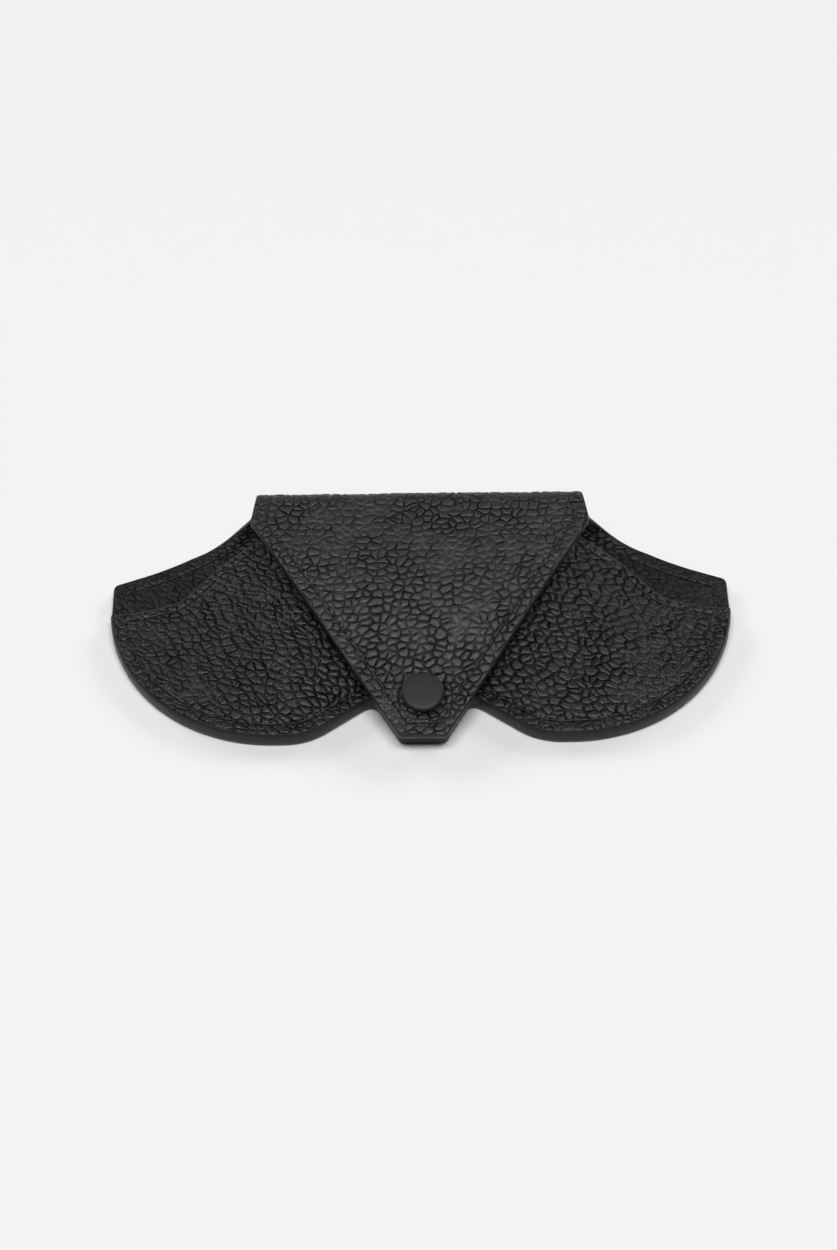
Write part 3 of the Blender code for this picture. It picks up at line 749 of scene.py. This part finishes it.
def finished(u, v, away, grained, names):
    """Adds the seams and the pressed edge to the grain."""
    height, strength, place = grained
    seam, pressed, dark = seam_relief(u, v, names)
    keep = (0.55 + 0.45 * ease(away / (1.2 * MM))) * (1 - 0.6 * pressed)
    edge = -0.22 * MM * np.exp(-((away / (0.45 * MM)) ** 2))
    swell = 0.10 * MM * noise(u, v, 7 * MM, 41) + 0.05 * MM * noise(u, v, 3.5 * MM, 42)
    # seam is the mask of painted shade in the stitch grooves and holes
    marks = {"grain": strength * keep, "seam": dark}
    return height * keep + seam + edge + swell * ease(away / (3 * MM)), marks, place


# Cell size, slant, depth, crease width and seed
OUTER_GRAIN = (2.75 * MM, 2.25 * MM), 0.12, 0.25 * MM, 0.21 * MM, 100
FRONT_GRAIN = (2.8 * MM, 2.3 * MM), 0.35, 0.28 * MM, 0.24 * MM, 300
LINING_GRAIN = (2.7 * MM, 2.1 * MM), 0.3, 0.20 * MM, 0.21 * MM, 500
FLAP_LINING_GRAIN = (2.6 * MM, 2.2 * MM), 0.2, 0.10 * MM, 0.2 * MM, 600
FRONT_LINING_GRAIN = (2.7 * MM, 2.4 * MM), 0.2, 0.09 * MM, 0.3 * MM, 700


def flap_relief(u, v, away):
    grained = grain(u, v, *OUTER_GRAIN)
    height, marks, place = finished(u, v, away, grained, ["flap"])
    from_snap = np.hypot(u, v - (S_TIP - SNAP_FROM_TIP))
    dip = -0.55 * MM * ease((CAP_RADIUS + 2.2 * MM - from_snap) / (2.6 * MM))
    bare = ease((from_snap - CAP_RADIUS + 1.2 * MM) / (1.0 * MM))
    around = np.exp(-(((from_snap - CAP_RADIUS - 2.4 * MM) / (1.6 * MM)) ** 2))
    angle = np.arctan2(v - (S_TIP - SNAP_FROM_TIP), u)
    pucker = 0.12 * MM * around * np.sin(9 * angle + 3 * noise(u, v, 3 * MM, 51))
    marks["grain"] *= bare
    return height * bare + dip + pucker, marks, place


def front_relief(u, v, away):
    return finished(u, v, away, grain(u, v, *FRONT_GRAIN), ["lobes", "mouth"])


def back_relief(u, v, away):
    grained = grain(u, v, *OUTER_GRAIN)
    height, marks, place = finished(u, v, away, grained, ["lobes", "wing_left", "wing_right"])
    pressed = ease((S_SPLIT - 3 * MM - v) / (12 * MM))
    height += pressed * (np.minimum(height - 0.1 * MM, 0.0) - height)
    return height, marks, place


def lining_relief(u, v, away):
    return finished(u, v, away, grain(u, v, *LINING_GRAIN), ["wing_left", "wing_right"])


def flap_lining_relief(u, v, away):
    return finished(u, v, away, grain(u, v, *FLAP_LINING_GRAIN), ["flap"])


def front_lining_relief(u, v, away):
    return finished(u, v, away, grain(u, v, *FRONT_LINING_GRAIN), ["mouth"])


# ------ painted edges


def painted_edge(name, run, place, profile, material):
    """A coat of edge paint along a run: its profile is (outwards, depth) points, anticlockwise."""
    run = divided(run, PAINT_STEP)
    tangent = np.gradient(run, axis=0)
    tangent /= np.hypot(*tangent.T)[:, None]
    outwards = np.stack([tangent[:, 1], -tangent[:, 0]], axis=1)
    length = run_lengths(run)
    vertices = []
    for out, depth in profile:
        rough = 1 + 0.10 * noise(length, length * 0 + 7 * MM * depth / MM, 3.1 * MM, 71)
        at = run + outwards * (out * rough)[:, None]
        vertices.append(place(at[:, 0], at[:, 1], depth))
    vertices = np.stack(vertices, axis=1).reshape(-1, 3)
    faces = []
    size, count = len(profile), len(run)
    for i in range(count - 1):
        for k in range(size):
            n = (k + 1) % size
            faces.append((i * size + k, i * size + n, (i + 1) * size + n, (i + 1) * size + k))
    faces.append(tuple(range(size - 1, -1, -1)))
    faces.append(tuple((count - 1) * size + k for k in range(size)))
    return new_object(name, vertices, faces, material)


def coat(thickness, bulge, wrap, midline=None):
    """The profile of a coat over a cut edge of this thickness."""
    film = 0.03 * MM
    outer = []
    for t in (0.0, 0.06, 0.16, 0.32, 0.5, 0.68, 0.84, 0.94, 1.0):
        out = bulge * (1 - abs(2 * t - 1) ** 2.4)
        if midline and abs(t - midline) < 0.05:
            out -= 0.1 * MM
        outer.append((out, thickness * t))
    near = [(-wrap, -film * 0.2), (-wrap * 0.5, -film)]
    far = [(-wrap * 0.5, thickness + film), (-wrap, thickness + film * 0.2)]
    back = [(-wrap, 0.25 * MM), (-0.12 * MM, 0.4 * MM)]
    far += [(out, thickness - depth) for out, depth in back]
    return near + outer + far + back[::-1]


# ------ stitches


def stitch_mesh(name, strands, material):
    """Single stitches along tracks. A strand is (track, place, depth, which way it stands)."""
    sides, rings = STITCH_SIDES, STITCH_RINGS
    t = np.linspace(0, 1, rings)
    arch = np.sin(np.pi * t) ** 0.55
    vertices, faces = [], []
    for track, place, surface, sense in strands:
        for k in range(track.stitches):
            share = (k + 0.04 + 0.92 * t) / track.stitches
            u, v = track.at(share)
            lift = STITCH_RISE * arch - STITCH_SINK
            wobble = 0.05 * MM * math.sin(k * 2.399)
            base = place(u, v, surface - sense * lift)
            above = place(u, v, surface - sense * (lift + 0.1 * MM))
            up = above - base
            up /= np.linalg.norm(up, axis=1)[:, None]
            ahead = np.gradient(base, axis=0)
            ahead /= np.linalg.norm(ahead, axis=1)[:, None]
            aside = np.cross(ahead, up)
            aside /= np.linalg.norm(aside, axis=1)[:, None]
            up = np.cross(aside, ahead)
            base = base + aside * (wobble + 0.10 * MM * (t - 0.5))[:, None]
            first = sum(len(part) for part in vertices)
            ring = []
            for i in range(sides):
                angle = 2 * math.pi * i / sides
                ply = 1 + 0.10 * np.cos(2 * (angle - 7.5 * t))
                radius = THREAD_RADIUS * ply * (0.72 + 0.28 * arch)
                spoke = aside * math.cos(angle) + up * math.sin(angle)
                ring.append(base + radius[:, None] * spoke)
            vertices.append(np.stack(ring, axis=1).reshape(-1, 3))
            for r in range(rings - 1):
                for i in range(sides):
                    n = (i + 1) % sides
                    a, b = first + r * sides, first + (r + 1) * sides
                    faces.append((a + i, a + n, b + n, b + i))
            faces.append(tuple(first + i for i in reversed(range(sides))))
            faces.append(tuple(first + (rings - 1) * sides + i for i in range(sides)))
    return new_object(name, np.concatenate(vertices), faces, material)


# ------ snap

SNAP_AXIS = np.array([0.0, -math.sin(FLAP_TILT), math.cos(FLAP_TILT)])
SNAP_ACROSS = np.array([1.0, 0.0, 0.0])
SNAP_ALONG = np.cross(SNAP_AXIS, SNAP_ACROSS)
SNAP_CENTRE = on_body(np.zeros(1), np.full(1, S_TIP - SNAP_FROM_TIP), 0.0)[0]


def turned(name, profile, material, closed=False):
    """A solid turned about the snap's axis, from (radius, height) points."""
    angle = 2 * math.pi * np.arange(TURN_SIDES) / TURN_SIDES
    around = np.outer(np.cos(angle), SNAP_ACROSS) + np.outer(np.sin(angle), SNAP_ALONG)
    vertices, rings = [], []
    for radius, height in profile:
        centre = SNAP_CENTRE + SNAP_AXIS * height
        if radius == 0:
            rings.append([len(vertices)] * TURN_SIDES)
            vertices.append(centre)
            continue
        rings.append(list(range(len(vertices), len(vertices) + TURN_SIDES)))
        vertices.extend(centre + radius * around)
    faces = []
    pairs = list(zip(rings, rings[1:]))
    if closed:
        pairs.append((rings[-1], rings[0]))
    for upper, lower in pairs:
        for k in range(TURN_SIDES):
            n = (k + 1) % TURN_SIDES
            ring = [upper[k], lower[k], lower[n], upper[n]]
            faces.append(tuple(c for i, c in enumerate(ring) if c != ring[i - 1]))
    made = new_object(name, vertices, faces, material)
    made.data.set_sharp_from_angle(angle=math.radians(50))
    return made


def rounded_profile(base, corners, steps=5):
    """(radius, height above base, fillet) corners in millimetres, as (radius, height) points."""
    corners = [(x * MM, base + y * MM, fillet * MM) for x, y, fillet in corners]
    points = []
    last = len(corners) - 1
    for i, (x, y, fillet) in enumerate(corners):
        if fillet == 0 or i in (0, last):
            points.append((x, y))
            continue
        corner = Vector((x, y))
        back = (Vector(corners[i - 1][:2]) - corner).normalized()
        ahead = (Vector(corners[i + 1][:2]) - corner).normalized()
        start, end = corner + back * fillet, corner + ahead * fillet
        for k in range(steps + 1):
            t = k / steps
            p = start * (1 - t) ** 2 + corner * 2 * t * (1 - t) + end * t * t
            points.append((p.x, p.y))
    return points


# ------ materials


class Nodes:
    """A short way to build a material's node tree."""

    def __init__(self, name):
        self.material = bpy.data.materials.new(name)
        self.material.use_nodes = True
        self.tree = self.material.node_tree
        self.shader = self.tree.nodes["Principled BSDF"]

    def add(self, kind, settings=None, **inputs):
        node = self.tree.nodes.new(kind)
        for key, value in (settings or {}).items():
            setattr(node, key, value)
        for key, value in inputs.items():
            self.set(node, key.replace("_", " "), value)
        return node

    def set(self, node, key, value):
        if isinstance(value, bpy.types.NodeSocket):
            self.tree.links.new(value, node.inputs[key])
        else:
            node.inputs[key].default_value = value

    def attribute(self, name):
        return self.add("ShaderNodeAttribute", {"attribute_name": name}).outputs["Fac"]

    def noise(self, where, scale, detail=3.0, roughness=0.55):
        inputs = {"Vector": where, "Scale": scale, "Detail": detail, "Roughness": roughness}
        return self.add("ShaderNodeTexNoise", **inputs).outputs["Fac"]

    def ranged(self, value, low, high, new_low, new_high, **settings):
        made = self.add("ShaderNodeMapRange", settings, Value=value)
        keys = ("From Min", "From Max", "To Min", "To Max")
        for key, number in zip(keys, (low, high, new_low, new_high)):
            made.inputs[key].default_value = number
        return made.outputs["Result"]

    def mixed(self, share, first, second):
        made = self.add("ShaderNodeMix", {"data_type": "RGBA"})
        self.set(made, 0, share)
        for key, colour in ((6, first), (7, second)):
            if isinstance(colour, bpy.types.NodeSocket):
                self.tree.links.new(colour, made.inputs[key])
            else:
                made.inputs[key].default_value = (*colour, 1.0)
        return made.outputs[2]

    def calculated(self, first, second, operation):
        made = self.add("ShaderNodeMath", {"operation": operation})
        for key, value in ((0, first), (1, second)):
            self.set(made, key, value)
        return made.outputs[0]

    def product(self, first, second):
        return self.calculated(first, second, "MULTIPLY")

    def crease(self, place, scale, jitter, width):
        """1 on the borders of Voronoi cells, falling to 0 at this distance from them."""
        settings = {"voronoi_dimensions": "2D", "feature": "DISTANCE_TO_EDGE"}
        inputs = {"Vector": place, "Scale": scale, "Randomness": jitter}
        distance = self.add("ShaderNodeTexVoronoi", settings, **inputs).outputs["Distance"]
        return self.ranged(distance, 0.0, width, 1.0, 0.0, interpolation_type="SMOOTHSTEP")

    def bump(self, height, distance, strength=1.0):
        made = self.add("ShaderNodeBump", Height=height, Distance=distance, Strength=strength)
        self.tree.links.new(made.outputs["Normal"], self.shader.inputs["Normal"])

    def finish(self, **inputs):
        for key, value in inputs.items():
            self.set(self.shader, key.replace("_", " "), value)
        return self.material


def leather_material(name, dark, light, roughness, gloss):
    """Black leather: sharp creases between pebbles, darkened with painted shade, and fine pores.
    """
    n = Nodes(name)
    where = n.add("ShaderNodeUVMap", {"uv_map": "flat"}).outputs["UV"]
    place = n.add("ShaderNodeUVMap", {"uv_map": "cells"}).outputs["UV"]
    strength = n.attribute("grain")
    crease = n.product(n.crease(place, 1.0, JITTER, 0.14), strength)
    wrinkled = n.ranged(n.noise(where, 70.0, 2.0), 0.48, 0.66, 0.0, 0.3)
    wrinkle = n.product(n.crease(place, 2.3, 1.0, 0.16), wrinkled)
    broad = n.noise(where, 60.0, 4.0)
    fine = n.noise(where, 420.0, 3.0)
    tone = n.mixed(n.ranged(broad, 0.3, 0.7, 0.0, 1.0), dark, light)
    # painted shade: the crease mask darkens the colour in the creases
    tone = n.mixed(n.ranged(crease, 0.2, 1.0, 0.0, 0.9), tone, CREASE_SHADE_COLOUR)
    # painted shade in the stitch grooves and holes
    tone = n.mixed(n.attribute("seam"), tone, SEAM_SHADE_COLOUR)
    shine = n.ranged(fine, 0.25, 0.75, roughness - 0.05, roughness + 0.08)
    n.set(n.shader, "Base Color", tone)
    n.set(n.shader, "Roughness", shine)
    pores = n.product(n.noise(where, 900.0, 3.0, 0.65), 0.2)
    pores = n.calculated(pores, n.product(n.noise(where, 210.0, 2.0), 0.4), "ADD")
    hollow = n.calculated(n.product(wrinkle, strength), crease, "ADD")
    n.bump(n.calculated(pores, hollow, "SUBTRACT"), 0.30 * MM)
    return n.finish(Specular_IOR_Level=gloss)


def paint_material(name, dark, light):
    """Edge paint: smooth and satin, with slight unevenness."""
    n = Nodes(name)
    where = n.add("ShaderNodeTexCoord").outputs["Object"]
    uneven = n.noise(where, 700.0, 3.0)
    n.set(n.shader, "Base Color", n.mixed(n.noise(where, 160.0), dark, light))
    n.set(n.shader, "Roughness", n.ranged(uneven, 0.3, 0.7, 0.36, 0.5))
    n.bump(uneven, 0.06 * MM, 0.6)
    return n.finish(Specular_IOR_Level=0.32)


def thread_material():
    """Waxed black thread with fine fibres."""
    n = Nodes("waxed_black_thread")
    where = n.add("ShaderNodeTexCoord").outputs["Object"]
    fibre = n.noise(where, 5200.0, 2.0)
    n.set(n.shader, "Base Color", n.mixed(fibre, (0.010, 0.010, 0.010), (0.035, 0.034, 0.032)))
    n.bump(fibre, 0.04 * MM, 0.7)
    return n.finish(Roughness=0.52)


def cap_material():
    """Matte gunmetal paint with a fine speckle."""
    n = Nodes("matte_gunmetal")
    where = n.add("ShaderNodeTexCoord").outputs["Object"]
    speckle = n.noise(where, 3800.0, 3.0, 0.7)
    cloud = n.noise(where, 420.0, 2.0)
    n.set(n.shader, "Base Color", n.mixed(cloud, (0.006, 0.006, 0.0045), (0.016, 0.0158, 0.0125)))
    n.set(n.shader, "Roughness", n.ranged(speckle, 0.3, 0.7, 0.42, 0.58))
    n.bump(speckle, 0.03 * MM, 0.8)
    return n.finish(Metallic=0.05, Specular_IOR_Level=0.38)


def nickel_material():
    """Black nickel, with fine turning marks and dulled patches."""
    n = Nodes("black_nickel_plate")
    where = n.add("ShaderNodeTexCoord").outputs["Object"]
    patch = n.noise(where, 520.0, 3.0)
    n.set(n.shader, "Base Color", n.mixed(patch, (0.12, 0.12, 0.12), (0.20, 0.195, 0.19)))
    n.set(n.shader, "Roughness", n.ranged(patch, 0.3, 0.7, 0.24, 0.42))
    n.bump(n.noise(where, 6000.0, 2.0), 0.01 * MM, 0.5)
    return n.finish(Metallic=1.0)


# ------ pieces


def bend_back(piece):
    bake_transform(piece)


def bend_fold(piece):
    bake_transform(piece)


def ride_pouch(piece):
    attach(piece, "pouch")


def build_leather():
    """The outer leather and the lining of the back, the flap and the front."""
    # painted light: the flap and back take the lighter colours, the pockets the darker copy
    outer = leather_material("pebbled_black_leather", *FLAP_COLOURS, 0.30, 0.56)
    pocket = leather_material("pocket_black_leather", *POCKET_COLOURS, 0.26, 0.46)
    inner = leather_material("lining_black_leather", *POCKET_COLOURS, 0.33, 0.34)
    panels = {  # outline, the grid's first row, place, thickness, motion, how it is held
        "back": (back_outline(), S_SPLIT, on_body, BODY_STACK, bend_back, "laid"),
        "flap": (flap_outline(), S_SPLIT, on_body, BODY_STACK, bend_fold, "folded"),
        "front": (front_outline(), MOUTH_Y, on_front, FRONT_STACK, ride_pouch, "laid"),
    }
    layers = [  # name, panel, grid step, relief, material, what it rests on, nodes it stands for
        ("back_leather", "back", MEDIUM, back_relief, outer, (),
         "back_panel_leather", "spine_leather"),
        ("back_lining", "back", FINE * 1.25, lining_relief, inner, ["back_leather"],
         "back_panel_lining", "spine_lining"),
        ("flap_leather_face", "flap", FINE, flap_relief, outer, (),
         "flap_leather", "spine_leather"),
        ("flap_lining_face", "flap", MEDIUM, flap_lining_relief, inner, ["flap_leather_face"],
         "flap_lining", "spine_lining"),
        ("front_leather", "front", FINE, front_relief, pocket, ["back_lining"],
         "front_panel_leather"),
        ("front_lining", "front", MEDIUM * 1.4, front_lining_relief, inner, ["back_lining"],
         "front_panel_lining"),
    ]
    for name, panel, spacing, relief, material, rests_on, *nodes in layers:
        outline, line, place, stack, move, held = panels[panel]
        lining = material is inner
        depth, sense = (stack, 1) if lining else (0.0, -1)
        glued = LEATHER + GAP / 2 + sense * GLUE / 2
        piece = leather_layer(
            name, outline, line, spacing, relief,
            lambda u, v, lift: place(u, v, depth + sense * lift),
            lambda u, v: place(u, v, glued),
            lining == (panel == "front"), material,
        )
        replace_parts(piece, *nodes)
        move(piece)


def build_edges():
    paint = paint_material("black_edge_paint", (0.006, 0.006, 0.0052), (0.011, 0.011, 0.0095))
    # painted highlight: a lighter paint on the mouth's cut edge stands in for the light it catches
    highlight_paint = paint_material("highlight_edge_paint", (0.022, 0.0217, 0.018), (0.045, 0.0445, 0.038))
    lobe = lobe_run()
    wing = BODY_RUN[len(lobe) - 12 :]
    wing = wing[wing[:, 1] <= S_SPLIT]
    flap = BODY_RUN[BODY_RUN[:, 1] >= S_SPLIT]
    mouth = MOUTH_RUN[MOUTH_RUN[:, 0] < lobe[-1, 0] - 0.2 * MM]
    double = coat(EDGE_STACK, bulge=0.5 * MM, wrap=0.3 * MM, midline=0.5)
    single = coat(BODY_STACK, bulge=0.28 * MM, wrap=0.22 * MM)
    thin = coat(FRONT_STACK, bulge=0.24 * MM, wrap=0.3 * MM)
    for name, run, place, profile, material, move in [
        ("lobe_edge_paint", both_sides(lobe), on_body, double, paint, ride_pouch),
        ("wing_edge_paint_right", wing, on_body, single, paint, bend_back),
        ("wing_edge_paint_left", mirrored(wing), on_body, single, paint, bend_back),
        ("flap_edge_paint", both_sides(flap), on_body, single, paint, bend_fold),
        ("mouth_edge_paint", both_sides(mouth), on_front, thin, highlight_paint, ride_pouch),
    ]:
        move(painted_edge(name, run, place, profile, material))


def build_stitches():
    """Each seam's upper and lower stitches. The body's start just under its outer face."""
    thread = thread_material()
    lobes, mouth, flap = TRACKS["lobes"], TRACKS["mouth"], TRACKS["flap"]
    wings = [TRACKS["wing_left"], TRACKS["wing_right"]]
    under = 0.1 * MM
    wing_strands = [(w, on_body, BODY_STACK, -1) for w in wings]
    wing_strands += [(w, on_body, under, 1) for w in wings]
    climbing = ["spine_seam_thread_left", "spine_seam_thread_right"]
    for name, strands, nodes, move in [
        ("lobe_stitches", [(lobes, on_front, 0.0, 1), (lobes, on_body, under, 1)],
         ["body_seam_thread"], ride_pouch),
        ("wing_stitches", wing_strands, ["body_seam_thread", *climbing], bend_back),
        ("flap_stitches", [(flap, on_body, 0.0, 1), (flap, on_body, BODY_STACK, -1)],
         ["flap_seam_thread", *climbing], bend_fold),
        ("mouth_stitches", [(mouth, on_front, 0.0, 1), (mouth, on_front, FRONT_STACK, -1)],
         ["mouth_seam_thread"], ride_pouch),
    ]:
        piece = stitch_mesh(name, strands, thread)
        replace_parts(piece, *nodes)
        move(piece)


def build_snap():
    """The cap, its rivet and the socket on the flap, and the stud and its eyelet on the front."""
    painted, nickel = cap_material(), nickel_material()
    cap = CAP_RADIUS / MM
    dome = [(0, 1.25, 0), (0.60 * cap, 1.22, 1.2), (0.85 * cap, 1.15, 0.4)]
    dome += [(0.965 * cap, 0.83, 0.3), (cap, 0.45, 0.2), (cap, -0.25, 0.2)]
    dome += [(0.93 * cap, -0.5, 0.15), (0, -0.5, 0)]
    piece = turned("snap_cap_dome", rounded_profile(0, dome), painted)
    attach(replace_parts(piece, "snap_cap"), "flap")

    ring_top = -(BODY_STACK + 0.1 * MM)
    ring = [(1.5, 0, 0), (4.9, 0, 0.3), (5.2, -0.6, 0.4), (4.8, -1.45, 0.3), (4.2, -1.45, 0.1)]
    ring += [(4.0, -1.15, 0.1), (3.3, -1.15, 0.1), (3.1, -1.45, 0.15), (2.6, -1.35, 0.1)]
    ring += [(2.6, -0.5, 0.1), (1.5, -0.5, 0)]
    socket = rounded_profile(ring_top, ring)
    piece = turned("snap_socket_ring", socket, nickel, closed=True)
    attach(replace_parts(piece, "snap_socket"), "flap")
    core = rounded_profile(ring_top, [(0, -0.55, 0), (1.5, -0.55, 0.2), (1.5, 0, 0), (0, 0, 0)])
    piece = turned("snap_cap_rivet", core[::-1], nickel)
    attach(piece, "flap")

    low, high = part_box("snap_stud")
    post_low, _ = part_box("snap_stud_post")
    base = (0.5 * (low.z + high.z) - SNAP_CENTRE[2]) / SNAP_AXIS[2] - 0.9 * MM
    head = [(0.8, 0.95, 0), (1.0, 1.25, 0.15), (2.2, 1.25, 0.35), (2.2, 0.75, 0.2)]
    head += [(1.9, 0.45, 0.2), (3.8, 0.32, 0.2), (4.0, -0.15, 0.1), (0.8, -0.15, 0)]
    stud = rounded_profile(base, head)
    piece = turned("snap_stud_head", stud, nickel, closed=True)
    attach(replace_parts(piece, "snap_stud"), "pouch")
    flange = (post_low.z - SNAP_CENTRE[2]) / SNAP_AXIS[2]
    top = (base - flange) / MM + 0.5
    post = [(0, top, 0), (0.8, top, 0), (0.8, 1.2, 0.1), (3.4, 1.3, 0.2), (3.6, 0.95, 0.1)]
    post += [(1.6, 0.75, 0.3), (0.9, 1.2, 0.1), (0, 1.2, 0)]
    piece = turned("snap_stud_eyelet", rounded_profile(flange, post), nickel)
    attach(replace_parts(piece, "snap_stud_post"), "pouch")


# ------ floor, light and camera


def plain_material(name, colour, roughness):
    n = Nodes(name)
    return n.finish(Base_Color=(*colour, 1.0), Roughness=roughness)


def build_floor():
    half = FLOOR_HALF_SIZE
    mesh = bpy.data.meshes.new("floor")
    corners = [(-half, -half, 0), (half, -half, 0), (half, half, 0), (-half, half, 0)]
    mesh.from_pydata(corners, [], [(0, 1, 2, 3)])
    mesh.materials.append(plain_material("pale_floor", (0.90, 0.90, 0.90), 0.9))
    floor = link(bpy.data.objects.new("floor", mesh))
    floor.location.z = CAD_LOW.z - FLOOR_CLEARANCE


def softbox(name, side, elevation, size, power):
    """A softbox aimed at the case, from behind it or, below zero, from in front of it."""
    tilt, turn = math.radians(abs(elevation)), math.radians(side)
    depth = math.copysign(math.cos(tilt) * math.cos(turn), elevation)
    place = LAMP_DISTANCE * Vector((math.sin(turn) * math.cos(tilt), depth, math.sin(tilt)))
    data = bpy.data.lights.new(name, "AREA")
    data.shape = "RECTANGLE"
    data.size, data.size_y = size
    data.energy = power
    lamp = link(bpy.data.objects.new(name, data))
    lamp.location = place
    lamp.rotation_mode = "QUATERNION"
    lamp.rotation_quaternion = place.to_track_quat("Z", "Y")


def build_light():
    """Four softboxes, and a world that gives little light but shows pale beyond the floor."""
    world = bpy.data.worlds.new("studio")
    world.use_nodes = True
    nodes, joined = world.node_tree.nodes, world.node_tree.links.new
    background = nodes["Background"]
    seen = nodes.new("ShaderNodeBackground")
    for node, strength in ((background, WORLD_LIGHT), (seen, BACKDROP_BRIGHTNESS)):
        node.inputs["Color"].default_value = (1.0, 1.0, 1.0, 1.0)
        node.inputs["Strength"].default_value = strength
    ray = nodes.new("ShaderNodeLightPath")
    either = nodes.new("ShaderNodeMixShader")
    joined(ray.outputs["Is Camera Ray"], either.inputs[0])
    joined(background.outputs[0], either.inputs[1])
    joined(seen.outputs[0], either.inputs[2])
    joined(either.outputs[0], nodes["World Output"].inputs["Surface"])
    bpy.context.scene.world = world
    for settings in SOFTBOXES:
        softbox(*settings)


def build_camera():
    """The photograph's view: from in front, 50 degrees up, with a long lens."""
    level = math.cos(CAMERA_ELEVATION)
    ahead = Vector(
        (math.sin(CAMERA_YAW) * level, math.cos(CAMERA_YAW) * level, -math.sin(CAMERA_ELEVATION))
    )
    data = bpy.data.cameras.new("camera")
    data.lens = CAMERA_LENS
    data.sensor_width = 36.0
    data.clip_start = 0.05
    data.clip_end = 20.0
    camera = link(bpy.data.objects.new("camera", data))
    camera.location = CAMERA_AIM - ahead * CAMERA_DISTANCE
    turn = ahead.to_track_quat("-Z", "Y").to_matrix() @ Matrix.Rotation(-CAMERA_ROLL, 3, "Z")
    camera.rotation_euler = turn.to_euler()
    bpy.context.scene.camera = camera


def build():
    build_leather()
    build_edges()
    build_stitches()
    build_snap()
    build_floor()
    build_light()
    build_camera()
    bpy.context.scene.view_settings.view_transform = "Standard"


build()
